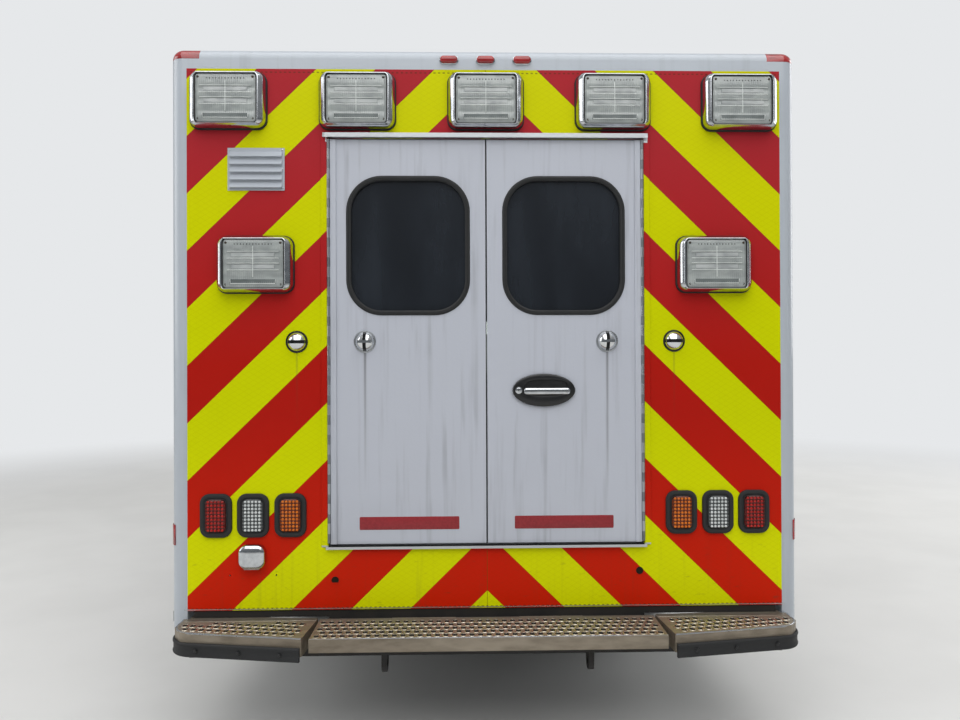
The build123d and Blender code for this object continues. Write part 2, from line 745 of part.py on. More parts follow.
# nose: hood, fenders and front panel
hood_front_y = nose_y - 70.0
hood_thickness = 30.0
hood_inner = cab_body(hood_thickness)
with BuildPart() as hood_prism:
    with BuildSketch(Plane.XY.offset(880)):
        with BuildLine():
            Polyline(
                (-hood_half[0], hood_rear_y), (hood_half[0], hood_rear_y), (hood_half[1], hood_front_y),
                (-hood_half[1], hood_front_y), close=True,
            )
        make_face()
    extrude(amount=600)
with BuildPart() as hood_cut:
    with BuildSketch(Plane.XY.offset(880)):
        with BuildLine():
            Polyline(
                (-hood_half[0] - cab_gap, hood_rear_y - 20), (hood_half[0] + cab_gap, hood_rear_y - 20),
                (hood_half[1] + cab_gap, hood_front_y + cab_gap),
                (-hood_half[1] - cab_gap, hood_front_y + cab_gap), close=True,
            )
        make_face()
    extrude(amount=600)

hood_plane = Plane(
    origin=(0, (cowl[0] + nose_y - 14) / 2, (cowl[1] + nose_top) / 2),
    x_dir=(1, 0, 0),
    z_dir=(0, -hood_slope.Z, hood_slope.Y),
)
bulge_half = (430.0, 340.0)
bulge_run = (-360.0, 350.0)
bulge_height = 11.0
with BuildPart() as hood:
    add(cab_outer)
    add(hood_inner, mode=Mode.SUBTRACT)
    add(hood_prism.part, mode=Mode.INTERSECT)
    with BuildSketch(hood_plane.offset(-1)):
        with BuildLine():
            Polyline(
                (-bulge_half[0], bulge_run[0]), (bulge_half[0], bulge_run[0]),
                (bulge_half[1], bulge_run[1]), (-bulge_half[1], bulge_run[1]), close=True,
            )
        make_face()
    extrude(amount=bulge_height, taper=50)
    for sign in (-1, 1):
        add(hood_hinge(sign, True))
save(hood.part, "hood")

nose_split_y = front_axle_y + front_arch_radius + 22
liner_thickness = 20.0
liner_x = (engine_half + 225.0, cab_half - 10.0)
arch_x = (front_wheel_x - tyre_width / 2 - 30.0, cab_half + 100.0)


def wheel_rods(limits, radius):
    """A cylinder about the front axle on each side, between two distances from the middle plane."""
    with BuildPart() as rods:
        for sign in (-1, 1):
            rod_x((sign * sum(limits) / 2, front_axle_y, hub_z), radius, limits[1] - limits[0])
    return rods.part


# Lips round the front wheel arches: how far they stand out, and the widths of their rim and foot
flare_proud = 14.0
flare_rim = 18.0
flare_foot = 38.0


def wheel_flares():
    """Raised lips round the front wheel arches, on the cab's side faces."""
    outline = [
        (0, front_arch_radius), (flare_proud, front_arch_radius),
        (flare_proud, front_arch_radius + flare_rim), (3, front_arch_radius + flare_foot),
        (0, front_arch_radius + flare_foot),
    ]
    with BuildPart() as lips:
        for sign in (-1, 1):
            face = ring_face(sign, cab_half, front_axle_y, outline)
            revolve(face, axis=Axis((0, front_axle_y, hub_z), (1, 0, 0)))
        block(far_x, (0, front_y), (-tyre_radius, cab_bottom), mode=Mode.SUBTRACT)
    return lips.part


# wheel liners: a half ring over each front wheel, with a side towards the engine
with BuildPart() as wheel_liners:
    add(wheel_rods(liner_x, front_arch_radius + liner_thickness))
    add(wheel_rods((liner_x[0] + liner_thickness, liner_x[1] + 10), front_arch_radius), mode=Mode.SUBTRACT)
    block(far_x, (-front_y, front_y), (-200, rail_top + 2), mode=Mode.SUBTRACT)

with BuildPart() as front_fenders:
    add(cab_outer)
    add(cab_inner, mode=Mode.SUBTRACT)
    block(far_x, (-front_y, firewall_y + 2), far_z, mode=Mode.SUBTRACT)
    block(far_x, (nose_split_y, front_y + 100), far_z, mode=Mode.SUBTRACT)
    add(hood_cut.part, mode=Mode.SUBTRACT)
    add(wheel_rods(arch_x, front_arch_radius), mode=Mode.SUBTRACT)
    add(wheel_liners.part)
    add(wheel_flares())
save(front_fenders.part, "front_fenders")

grille_half = cab_half - 545.0
grille_z = (660.0, 950.0)
lamp_x = (cab_half - 475.0, cab_half - 165.0)
lamp_z = (700.0, 930.0)
turn_z = (632.0, 684.0)
lamp_y = (nose_y - 70.0, nose_y - 8.0)
grille_frame = 22.0
grille_depth = 34.0
grille_proud = 5.0
grille_bars = 7
with BuildPart() as nose_panel:
    add(cab_outer)
    add(cab_inner, mode=Mode.SUBTRACT)
    block(far_x, (-front_y, nose_split_y + 2), far_z, mode=Mode.SUBTRACT)
    block((-cab_half + 115, cab_half - 115), (0, front_y), (0, 600), mode=Mode.SUBTRACT)
    add(hood_cut.part, mode=Mode.SUBTRACT)
    block((-grille_half, grille_half), (nose_y - 200, nose_y + 50), grille_z, mode=Mode.SUBTRACT)
    for sign in (-1, 1):
        for z in (lamp_z, turn_z):
            block(span(sign, *lamp_x), (nose_y - 200, nose_y + 50), z, mode=Mode.SUBTRACT)
    # slanted bars in a raised frame
    frame_plane = Plane(origin=(0, nose_y - grille_depth, 0), x_dir=(-1, 0, 0), z_dir=(0, 1, 0))
    with BuildSketch(frame_plane):
        with Locations((0, sum(grille_z) / 2)):
            frame_z = grown(grille_z, grille_frame)
            RectangleRounded(2 * (grille_half + grille_frame), frame_z[1] - frame_z[0], 30)
            Rectangle(2 * grille_half, grille_z[1] - grille_z[0], mode=Mode.SUBTRACT)
    extrude(amount=grille_depth + grille_proud)
    pitch = (grille_z[1] - grille_z[0]) / (grille_bars + 1)
    bar_start = (-grille_half - 1, nose_y - grille_depth, 0)
    with BuildSketch(Plane(origin=bar_start, x_dir=(0, 1, 0), z_dir=(1, 0, 0))):
        for n in range(grille_bars):
            z = grille_z[0] + (n + 1) * pitch
            with BuildLine():
                Polyline((-10, z - 14), (25, z - 3), (25, z + 7), (-10, z - 4), close=True)
            make_face()
    extrude(amount=2 * grille_half + 2)
    # shelf back to the foremost cross member
    block((-web_x + 30, web_x - 30), (cross_ys[0] + cross_half_y, nose_y - 30), (610, 640))
save(nose_panel.part, "nose_panel")

bumper_z = (430.0, 620.0)
bumper_half = cab_half + 25.0
with BuildPart() as front_bumper:
    bumper_face = rounded_face(
        Plane.XY.offset(bumper_z[0]),
        [
            (-bumper_half, nose_y - 190, 0), (-bumper_half, nose_y - 90, 120),
            (-bumper_half + 160, front_y - 22, 60),
            (0, front_y, 0), (bumper_half - 160, front_y - 22, 60), (bumper_half, nose_y - 90, 120),
            (bumper_half, nose_y - 190, 0),
        ],
    )
    extrude(bumper_face, amount=bumper_z[1] - bumper_z[0])
    inner_face = rounded_face(Plane.XY.offset(bumper_z[0] - 1), cab_plan, -8)
    extrude(inner_face, amount=bumper_z[1] - bumper_z[0] + 2, mode=Mode.SUBTRACT)
    for sign in (-1, 1):
        arm_z = (rail_bottom, rail_bottom + 50)
        block(span(sign, rail_x - rail_flange, rail_x), (rail_front_y, nose_y + 20), arm_z)
        tow_eye(sign, nose_y + 30, bumper_z[0])
save(front_bumper.part, "front_bumper")

# fixed glazing: the windshield and the module's side windows
with BuildPart() as fixed_glass:
    add(screen_solid(seat_clearance, (0, 26)))
    add(screen_solid(-5, (0, 18)), mode=Mode.SUBTRACT)
    for sign, y, z in fixed_windows:
        with BuildSketch(side_plane(sign, half - 20)):
            side_rect(sign, grown(y, -seat_clearance), grown(z, -seat_clearance), radius=fixed_window_radius)
        extrude(amount=glass_thickness)
save(fixed_glass.part, "fixed_glass")

# cab fittings
dash_y = (firewall_y - 400.0, firewall_y - firewall_thickness)
wheel_centre = (-420.0, dash_y[0] - 130.0, 1330.0)
steering_wheel_radius = 199.0
wheel_plane = Plane(origin=wheel_centre, x_dir=(1, 0, 0), z_dir=(0, -0.86, 0.5))
with BuildPart() as dashboard:
    with BuildSketch(Plane(origin=(-900, 0, 0), x_dir=(0, 1, 0), z_dir=(1, 0, 0))) as dash_face:
        with BuildLine():
            Polyline(
                (dash_y[1], cab_floor_top + 320), (dash_y[1], 1222), (dash_y[0] + 120, 1222),
                (dash_y[0], 1160), (dash_y[0] + 60, cab_floor_top + 320), close=True,
            )
        make_face()
    extrude(amount=1800)
    block((-200, 200), (dash_y[0] + 90, dash_y[1]), (cab_floor_top, cab_floor_top + 330))
    with BuildSketch(wheel_plane):
        Circle(26)
    extrude(amount=-300)
    with BuildSketch(wheel_plane):
        Circle(55)
        Rectangle(2 * steering_wheel_radius - 38, 24)
    extrude(amount=9, both=True)
    with BuildSketch(wheel_plane):
        Circle(steering_wheel_radius)
        Circle(steering_wheel_radius - 28, mode=Mode.SUBTRACT)
    extrude(amount=13, both=True)
save(dashboard.part, "dashboard")

seat_x = 470.0
seat_half = 240.0
seat_y = (module_front_y + 130.0, module_front_y + 640.0)
bench_x = (660.0, half - wall - 2)
bench_y = (rear_y + 1164, rear_y + 2604)
bench_z = (1180.0, 1260.0)
with BuildPart() as seats:
    # Corners of a seat's side outline: from its rear edge, and from the cab's floor
    seat_outline = [
        (70, 0), (450, 0), (450, 170), (510, 200), (510, 310), (190, 290), (70, 860), (-50, 850), (70, 170),
    ]
    for sign in (-1, 1):
        x = seat_x * sign
        seat_corner = (x - seat_half, seat_y[0], cab_floor_top)
        with BuildSketch(Plane(origin=seat_corner, x_dir=(0, 1, 0), z_dir=(1, 0, 0))):
            with BuildLine():
                Polyline(*seat_outline, close=True)
            make_face()
        extrude(amount=2 * seat_half)
        rest_z = (cab_floor_top + 848, cab_floor_top + 1020)
        block((x - 120, x + 120), (seat_y[0] - 45, seat_y[0] + 50), rest_z)
    block(bench_x, bench_y, bench_z)
save(seats.part, "seats")

# module body plates
with BuildPart() as roof_form:
    block((-half, half), (rear_y, module_front_y), (wall_top, roof_top))
    fillet(roof_form.edges().filter_by(Axis.Z), post_radius)
    fillet(roof_form.faces().sort_by(Axis.Z)[-1].edges(), roof_radius)

corner_lamp = (116.0, 70.0, 44.0)


def corner_boxes(clearance):
    """The places of the marker lamps in the roof's corners, drawn in by a clearance."""
    with BuildPart() as boxes:
        for sign in (-1, 1):
            for corner_y, inwards in ((rear_y, 1), (module_front_y, -1)):
                ends = sorted((corner_y - inwards, corner_y + inwards * (corner_lamp[1] - clearance)))
                x = span(sign, half - corner_lamp[0] + clearance, half + 1)
                block(x, ends, (roof_top - corner_lamp[2] + clearance, roof_top + 1))
    return boxes.part


with BuildPart() as module_roof:
    add(roof_form.part)
    add(corner_boxes(0), mode=Mode.SUBTRACT)
save(module_roof.part, "module_roof")

with BuildPart() as corner_lamps:
    add(roof_form.part)
    add(corner_boxes(seat_clearance), mode=Mode.INTERSECT)

with BuildPart() as corner_posts:
    for sign in (-1, 1):
        for low, outer_y in ((rear_y, rear_y), (module_front_y - post, module_front_y)):
            block(span(sign, half - post, half), (low, low + post), (skirt_z, wall_top))
    outer_edges = []
    for edge in corner_posts.edges().filter_by(Axis.Z):
        x, y = edge.center().X, edge.center().Y
        if abs(abs(x) - half) < 1 and min(abs(y - rear_y), abs(y - module_front_y)) < 1:
            outer_edges.append(edge)
    fillet(outer_edges, post_radius)
save(corner_posts.part, "corner_posts")

wall_y = (rear_y + post, module_front_y - post)


def side_door_hinges(sign, moving):
    """Halves of the hinges of every locker and entry door on one side, with their names."""
    rows = [(name, y, z, end) for name, side, y, z, end in lockers if side == sign]
    if sign > 0:
        rows.append(("entry_door", entry_y, entry_z, 1))
    halves = {}
    for name, y, z, end in rows:
        pin_y = y[1] + hinge_gap / 2 if end > 0 else y[0] - hinge_gap / 2
        middle = (sign * (half + hinge_proud), pin_y, (z[0] + z[1]) / 2)
        towards = (0, -end, 0) if moving else (0, end, 0)
        halves[name] = hinge_half(middle, (sign, 0, 0), towards, z[1] - z[0] - 40, moving)
    return halves


trim_width = 45.0
trim_proud = 8.0
drip_rise = 8.0
drip_reach = 25.0
drip_proud = 14.0
drip_thickness = 12.0
rub_z = (490.0, 530.0)
rub_proud = 18.0


def side_door_limits(sign):
    """Limits in y and z of every door on one side of the module."""
    limits = [(y, z) for _, side, y, z, _ in lockers if side == sign]
    return limits + [(entry_y, entry_z)] if sign > 0 else limits


def rub_runs(sign):
    """Stretches of the rub rail along the skirt: it stops at the wheel arch and at the entry door."""
    arch_y = grown((rear_axle_y, rear_axle_y), arch_radius + trim_width)
    ends = [wall_y[0] + 10, arch_y[0], arch_y[1], wall_y[1] - 10]
    if sign > 0:
        ends[3:3] = grown(entry_y, 3 * hinge_gap)
    return list(zip(ends[::2], ends[1::2]))


def side_wall(sign):
    """One side wall: a plate with its wheel arch, locker openings, entry door and windows cut."""
    with BuildPart() as plate:
        with BuildSketch(side_plane(sign)):
            side_rect(sign, wall_y, (skirt_z, wall_top))
            with Locations((sign * rear_axle_y, hub_z)):
                Circle(arch_radius, mode=Mode.SUBTRACT)
            for _, locker_sign, y, z, _ in lockers:
                if locker_sign == sign:
                    side_rect(sign, grown(y, hinge_gap), grown(z, hinge_gap), mode=Mode.SUBTRACT)
            if sign > 0:
                entry_cut_z = (entry_z[0] - hinge_gap - 40, entry_z[1] + hinge_gap)
                side_rect(sign, grown(entry_y, hinge_gap), entry_cut_z, mode=Mode.SUBTRACT)
            for window_sign, y, z in fixed_windows:
                if window_sign == sign:
                    side_rect(sign, y, z, fixed_window_radius, Mode.SUBTRACT)
        extrude(amount=-wall)
        # bright trim round the wheel arch, down to the skirt
        with BuildSketch(side_plane(sign)):
            with Locations((sign * rear_axle_y, hub_z)):
                Circle(arch_radius + trim_width)
                Circle(arch_radius, mode=Mode.SUBTRACT)
            below_y = grown((rear_axle_y, rear_axle_y), arch_radius + trim_width)
            below_z = (hub_z - arch_radius - trim_width, skirt_z)
            side_rect(sign, below_y, below_z, mode=Mode.SUBTRACT)
        extrude(amount=trim_proud)
        for y, z in side_door_limits(sign):
            drip_z = z[1] + hinge_gap + drip_rise
            drip_x = span(sign, half - 1, half + drip_proud)
            block(drip_x, grown(y, drip_reach), (drip_z, drip_z + drip_thickness))
        for y in rub_runs(sign):
            block(span(sign, half - 1, half + rub_proud), y, rub_z)
        for hinge in side_door_hinges(sign, False).values():
            add(hinge)
    return plate.part


save(side_wall(-1), "wall_left")
save(side_wall(1), "wall_right")


def rear_door_hinge(sign, moving):
    """Half of a rear door's full-height hinge."""
    middle_z = (rear_door_bottom + rear_door_top) / 2
    middle = (sign * (rear_door_half + hinge_gap / 2), rear_y - hinge_proud, middle_z)
    towards = (-sign if moving else sign, 0, 0)
    return hinge_half(middle, (0, -1, 0), towards, rear_door_top - rear_door_bottom - 20, moving)


dome_radius = 38.0
dome_height = 28.0
dome_slot = (13.0, 17.0)
dome_z = rear_sill_z - 114.5
wall_dome_x = 732.0
door_dome_x = 470.0


def dome(x, upright):
    """A hold-open cup on the rear face: a low dome with a slot across its middle."""
    ball_radius = (dome_radius ** 2 + dome_height ** 2) / (2 * dome_height)
    across = (x - dome_radius - 1, x + dome_radius + 1)
    along = (dome_z - dome_radius - 1, dome_z + dome_radius + 1)
    slot_x = (x - dome_slot[0] / 2, x + dome_slot[0] / 2) if upright else across
    slot_z = along if upright else (dome_z - dome_slot[0] / 2, dome_z + dome_slot[0] / 2)
    top_y = rear_y - dome_height
    with BuildPart() as cup:
        with Locations((x, top_y + ball_radius, dome_z)):
            Sphere(ball_radius)
        block(across, (top_y - 1, rear_y + 2), along, mode=Mode.INTERSECT)
        block(slot_x, (top_y - 1, top_y + dome_slot[1]), slot_z, mode=Mode.SUBTRACT)
    return cup.part


vent_x = -885.6
vent_z = roof_top - 471.0
vent_size = (218.0, 164.0)
louvre_count = 5
louvre_proud = 13.0
plate_proud = 3.0


def louvre_vent():
    """A plate with rows of hooded louvres, each open at its lower edge."""
    pitch = vent_size[1] / (louvre_count + 0.5)
    with BuildPart() as vent:
        with BuildSketch(rear_plane()):
            with Locations((vent_x, vent_z)):
                Rectangle(*vent_size)
        extrude(amount=plate_proud)
        for n in range(louvre_count):
            top_z = vent_z + vent_size[1] / 2 - (n + 0.4) * pitch
            start = (vent_x - vent_size[0] / 2 + 9, rear_y, top_z)
            with BuildSketch(Plane(origin=start, x_dir=(0, -1, 0), z_dir=(1, 0, 0))):
                with BuildLine():
                    Polyline(
                        (plate_proud - 1, 0), (louvre_proud, 0.7 * pitch), (louvre_proud, 0.7 * pitch + 2),
                        (plate_proud + 5, 0.7 * pitch + 2), (plate_proud - 1, 0.4 * pitch), close=True,
                    )
                make_face()
            extrude(amount=vent_size[0] - 18)
    return vent.part


plugs = [(-587.0, 669.0), (593.0, 695.0)]
rail_drip = (rear_door_top + 5.0, rear_door_top + 22.0)
licence_x = -901.0
licence_lamp_z = 765.0
plate_hole_z = 690.0
plate_hole_spacing = 177.8
plate_hole_radius = 3.4
with BuildPart() as wall_rear:
    inner_half = half - post
    with BuildSketch(rear_plane()):
        with Locations((0, (rear_panel_bottom + wall_top) / 2)):
            Rectangle(2 * inner_half, wall_top - rear_panel_bottom)
        with Locations((0, (rear_door_bottom + rear_door_top) / 2)):
            Rectangle(
                2 * rear_door_half + 2 * hinge_gap,
                rear_door_top - rear_door_bottom + 2 * hinge_gap,
                mode=Mode.SUBTRACT,
            )
    extrude(amount=-wall)
    for x in (-plate_hole_spacing / 2, plate_hole_spacing / 2):
        with BuildSketch(rear_plane(1)):
            with Locations((licence_x + x, plate_hole_z)):
                Circle(plate_hole_radius)
        extrude(amount=-wall - 2, mode=Mode.SUBTRACT)
    block(grown((0, 0), rear_door_half + 22), (rear_y - 20, rear_y + 1), rail_drip)
    threshold_z = (rear_door_bottom - 18, rear_door_bottom - 5)
    block(grown((0, 0), rear_door_half + 14), (rear_y - 14, rear_y + 1), threshold_z)
    for sign in (-1, 1):
        add(rear_door_hinge(sign, False))
        add(dome(sign * wall_dome_x, False))
    add(louvre_vent())
    with BuildSketch(rear_plane()):
        with Locations(*plugs):
            Circle(14)
    extrude(amount=3)
save(wall_rear.part, "wall_rear")

passage_half = 260.0
passage_z = (floor_top + 10.0, 1960.0)
with BuildPart() as wall_front:
    block((-inner_half, inner_half), (module_front_y - wall, module_front_y), (skirt_z, wall_top))
    through_y = (module_front_y - wall - 1, module_front_y + 1)
    block((-inner_half + 120, inner_half - 120), through_y, (skirt_z - 1, floor_bottom), mode=Mode.SUBTRACT)
    block((-passage_half, passage_half), through_y, passage_z, mode=Mode.SUBTRACT)
save(wall_front.part, "wall_front")

# floor plate with its wheel housings
housing_wall = 20.0
housing_x = 630.0
housing_y = (rear_axle_y - arch_radius - 10, rear_axle_y + arch_radius + 10)
housing_top = hub_z + arch_radius + 12
floor_y = (rear_y + wall, module_front_y - wall)
floor_half = half - wall
entry_well_x = half - wall - well_depth
# Cot fastener: a rectangle of four bolt holes in the aisle floor
cot_spacing = (330.0, 1500.0)
cot_middle_y = rear_y + 1624
cot_hole_radius = 5.5
with BuildPart() as module_floor:
    block((-floor_half, floor_half), floor_y, (floor_bottom, floor_top))
    for _, sign, y, z, _ in lockers:
        block(
            span(sign, liner_inner_x - liner_wall, floor_half + 1),
            grown(y, liner_wall + hinge_gap + seat_clearance),
            (floor_bottom - 1, floor_top + 1),
            mode=Mode.SUBTRACT,
        )
    block(
        (entry_well_x - liner_wall, floor_half + 1),
        grown(entry_y, liner_wall + hinge_gap + seat_clearance),
        (floor_bottom - 1, floor_top + 1),
        mode=Mode.SUBTRACT,
    )
    for sign in (-1, 1):
        outside = span(sign, housing_x - housing_wall, floor_half)
        block(outside, grown(housing_y, housing_wall), (floor_top, housing_top + housing_wall))
        inside = span(sign, housing_x, floor_half + 1)
        block(inside, housing_y, (floor_bottom - 1, housing_top), mode=Mode.SUBTRACT)
    for x in (-cot_spacing[0] / 2, cot_spacing[0] / 2):
        for y in (-cot_spacing[1] / 2, cot_spacing[1] / 2):
            with Locations((x, cot_middle_y + y, (floor_bottom + floor_top) / 2)):
                Cylinder(cot_hole_radius, floor_thickness + 2, mode=Mode.SUBTRACT)
    # posts' inner corners stay clear
    for sign in (-1, 1):
        for y in ((rear_y, rear_y + post), (module_front_y - post, module_front_y)):
            block(span(sign, half - post, half), y, (floor_bottom - 1, floor_top + 1), mode=Mode.SUBTRACT)
save(module_floor.part, "module_floor")

# locker liners and the entry step well: open boxes of thin plate behind their openings
with BuildPart() as locker_liners:
    for _, sign, y, z, _ in lockers:
        inside_y = grown(y, hinge_gap)
        inside_z = grown(z, hinge_gap)
        outside = span(sign, liner_inner_x - liner_wall, half - wall)
        block(outside, grown(inside_y, liner_wall), grown(inside_z, liner_wall))
        block(span(sign, liner_inner_x, half - wall + 1), inside_y, inside_z, mode=Mode.SUBTRACT)
    inside_y = grown(entry_y, hinge_gap)
    outside = (entry_well_x - liner_wall, half - wall)
    block(outside, grown(inside_y, liner_wall), (well_floor_z - 40, floor_top))
    block((entry_well_x, half - wall + 1), inside_y, (well_floor_z - 20, floor_top + 1), mode=Mode.SUBTRACT)
save(locker_liners.part, "locker_liners")

# inside fittings: the bench box over the wheel housing and the wall cabinet
with BuildPart() as inside_fittings:
    block(bench_x, bench_y, (floor_top, bench_z[0]))
    housing_z = (floor_top, housing_top + housing_wall)
    block(bench_x, grown(housing_y, housing_wall), housing_z, mode=Mode.SUBTRACT)
    # cabinet on the left wall, open to the aisle above its worktop
    cabinet_depth = 420.0
    cabinet_y = (rear_y + 1084, rear_y + 2324)
    cabinet_z = (1340.0, wall_top - 78.0)
    open_z = (cabinet_z[0] + 200, cabinet_z[1] - 20)
    cabinet_face = half - wall - cabinet_depth
    block(span(-1, cabinet_face, half - wall - seat_clearance), cabinet_y, cabinet_z)
    block(span(-1, cabinet_face, half - wall - 20), grown(cabinet_y, -20), open_z, mode=Mode.SUBTRACT)
    for share in (1 / 3, 2 / 3):
        y = cabinet_y[0] + share * (cabinet_y[1] - cabinet_y[0])
        block(span(-1, cabinet_face, half - wall - 19), (y - 8, y + 8), open_z)
save(inside_fittings.part, "inside_fittings")

# rear doors
handle_at = (222.0, rear_sill_z - 304.5)
handle_size = (245.0, 126.0)
handle_proud = 9.0


def paddle_handle():
    """An oval escutcheon with a finger recess, a bar across it and a lock beside it."""
    x, z = handle_at
    with BuildPart() as handle:
        with BuildSketch(rear_plane(-1)):
            with Locations((x, z)):
                Ellipse(handle_size[0] / 2, handle_size[1] / 2)
        extrude(amount=handle_proud + 1)
        with BuildSketch(rear_plane(2)):
            with Locations((x + 10, z + 10)):
                SlotOverall(170, 66)
        extrude(amount=handle_proud, mode=Mode.SUBTRACT)
        with BuildSketch(rear_plane(1)):
            with Locations((x + 12, z - 4)):
                RectangleRounded(176, 22, 8)
        extrude(amount=handle_proud + 5)
        with BuildSketch(rear_plane(1)):
            with Locations((x - 98, z)):
                Circle(9)
        extrude(amount=handle_proud + 2)
    return handle.part


for side, sign in (("left", -1), ("right", 1)):
    with BuildPart() as rear_door:
        block(span(sign, 3, rear_door_half), (rear_y, rear_y + wall), (rear_door_bottom, rear_door_top))
        with BuildSketch(rear_plane()):
            with Locations((sign * rear_window["centre_x"], rear_window["centre_z"])):
                RectangleRounded(rear_window["width"], rear_window["height"], rear_window["radius"])
        extrude(amount=-wall, mode=Mode.SUBTRACT)
        add(dome(sign * door_dome_x, True))
        bar_y = (rear_y - dome_height - 3, rear_y)
        block(grown((sign * door_dome_x,) * 2, 26), bar_y, grown((dome_z,) * 2, 5))
        if sign > 0:
            add(paddle_handle())
        add(rear_door_hinge(sign, True))
    save(rear_door.part, f"rear_door_{side}")

    with BuildPart() as rear_glass:
        with BuildSketch(rear_plane(-12)):
            with Locations((sign * rear_window["centre_x"], rear_window["centre_z"])):
                RectangleRounded(
                    rear_window["width"] - 2 * seat_clearance,
                    rear_window["height"] - 2 * seat_clearance,
                    rear_window["radius"],
                )
        extrude(amount=-glass_thickness)
    save(rear_glass.part, f"rear_glass_{side}")

# entry door and locker doors
latch_size = (150.0, 100.0)


def paddle_latch(sign, y, z):
    """A square-cornered paddle latch on a side door: a plate with a pull in its middle."""
    with BuildPart() as latch:
        with BuildSketch(side_plane(sign, half - 1)):
            with Locations((sign * y, z)):
                RectangleRounded(*latch_size, 18)
        extrude(amount=6)
        with BuildSketch(side_plane(sign, half - 1)):
            with Locations((sign * y, z)):
                RectangleRounded(latch_size[0] - 50, latch_size[1] - 56, 10)
        extrude(amount=14)
    return latch.part


with BuildPart() as entry_door:
    block((half - wall, half), entry_y, entry_z)
    with BuildSketch(side_plane(1)):
        side_rect(1, entry_window["y"], entry_window["z"], radius=entry_window["radius"])
    extrude(amount=-wall, mode=Mode.SUBTRACT)
    add(paddle_latch(1, entry_y[0] + 145, 1340))
    add(side_door_hinges(1, True)["entry_door"])
save(entry_door.part, "entry_door")

with BuildPart() as entry_glass:
    with BuildSketch(side_plane(1, half - 12)):
        pane_y = grown(entry_window["y"], -seat_clearance)
        side_rect(1, pane_y, grown(entry_window["z"], -seat_clearance), radius=entry_window["radius"])
    extrude(amount=-glass_thickness)
save(entry_glass.part, "entry_glass")

for name, sign, y, z, hinge_end in lockers:
    with BuildPart() as locker_door:
        block(span(sign, half - wall, half), y, z)
        add(paddle_latch(sign, y[0] + 115 if hinge_end > 0 else y[1] - 115, sum(z) / 2))
        add(side_door_hinges(sign, True)[name])
    save(locker_door.part, name)

# warning lights: chrome bezels with clear lenses. Columns: side or face, position along it, height
light_size = (290.0, 216.0)
bezel_depth = 44.0
bezel_bevel = 26.0
bezel_radius = 42.0
lens_size = (232.0, 172.0)
lens_radius = 24.0
lens_seat = 30.0
lens_crown = 2.0
rear_light_z = roof_top - 209.0
middle_light_z = roof_top - 840.0
side_light_z = roof_top - 247.0
rear_lights = [(x, rear_light_z) for x in (-990.0, -495.0, 0.0, 495.0, 990.0)]
rear_lights += [(x, middle_light_z) for x in (-887.0, 887.0)]
front_lights = [(x, side_light_z) for x in (-950.0, -320.0, 320.0, 950.0)]
side_lights = [(rear_y + 244.0, side_light_z), (module_front_y - 260.0, side_light_z)]


def light_planes():
    """A plane at each warning light, with its normal outwards."""
    planes = []
    for x, z in rear_lights:
        planes.append(Plane(origin=(x, rear_y, z), x_dir=(1, 0, 0), z_dir=(0, -1, 0)))
    for x, z in front_lights:
        planes.append(Plane(origin=(x, module_front_y, z), x_dir=(-1, 0, 0), z_dir=(0, 1, 0)))
    for sign in (-1, 1):
        for y, z in side_lights:
            planes.append(Plane(origin=(sign * half, y, z), x_dir=(0, sign, 0), z_dir=(sign, 0, 0)))
    return planes


with BuildPart() as light_bezels:
    for plane in light_planes():
        with BuildSketch(plane):
            RectangleRounded(*light_size, bezel_radius)
        extrude(amount=bezel_depth - bezel_bevel)
        with BuildSketch(plane.offset(bezel_depth - bezel_bevel)):
            RectangleRounded(*light_size, bezel_radius)
        extrude(amount=bezel_bevel, taper=38)
        with BuildSketch(plane.offset(lens_seat)):
            RectangleRounded(*lens_size, lens_radius)
        extrude(amount=bezel_depth, mode=Mode.SUBTRACT)
save(light_bezels.part, "light_bezels")

with BuildPart() as light_lenses:
    for plane in light_planes():
        with BuildSketch(plane.offset(lens_seat)):
            RectangleRounded(*[side - 2 * seat_clearance for side in lens_size], lens_radius)
        extrude(amount=bezel_depth - lens_seat + lens_crown)
save(light_lenses.part, "light_lenses")

# small lamps: tail lamps, licence lamp, roof markers, side markers, headlamps
tail_lamp_xs = [757.0, 900.0, 1041.5]
tail_lamp_z = 921.0
marker_xs = [-142.0, 0.0, 142.0]
marker_z = roof_top - 45.0
side_marker = {"reach": (half - 30.0, half + 4.0), "y": (rear_y + 8.0, rear_y + 48.0), "z": (870.0, 950.0)}
with BuildPart() as small_lamps:
    for sign in (-1, 1):
        for x in tail_lamp_xs:
            with BuildSketch(rear_plane()):
                with Locations((sign * x, tail_lamp_z)):
                    RectangleRounded(120, 166, 36)
            extrude(amount=9)
            with BuildSketch(rear_plane(9)):
                with Locations((sign * x, tail_lamp_z)):
                    RectangleRounded(78, 124, 20)
            extrude(amount=5)
        block(span(sign, *side_marker["reach"]), side_marker["y"], side_marker["z"])
        for z in (lamp_z, turn_z):
            block(span(sign, *grown(lamp_x, -seat_clearance)), lamp_y, grown(z, -seat_clearance))
    for x in marker_xs:
        with BuildSketch(rear_plane()):
            with Locations((x, marker_z)):
                SlotOverall(67, 27)
        extrude(amount=14)
    with BuildSketch(rear_plane()):
        with Locations((licence_x, licence_lamp_z)):
            RectangleRounded(100, 92, 30)
    extrude(amount=28)
    add(corner_posts.part, mode=Mode.SUBTRACT)
    add(corner_lamps.part)
save(small_lamps.part, "small_lamps")

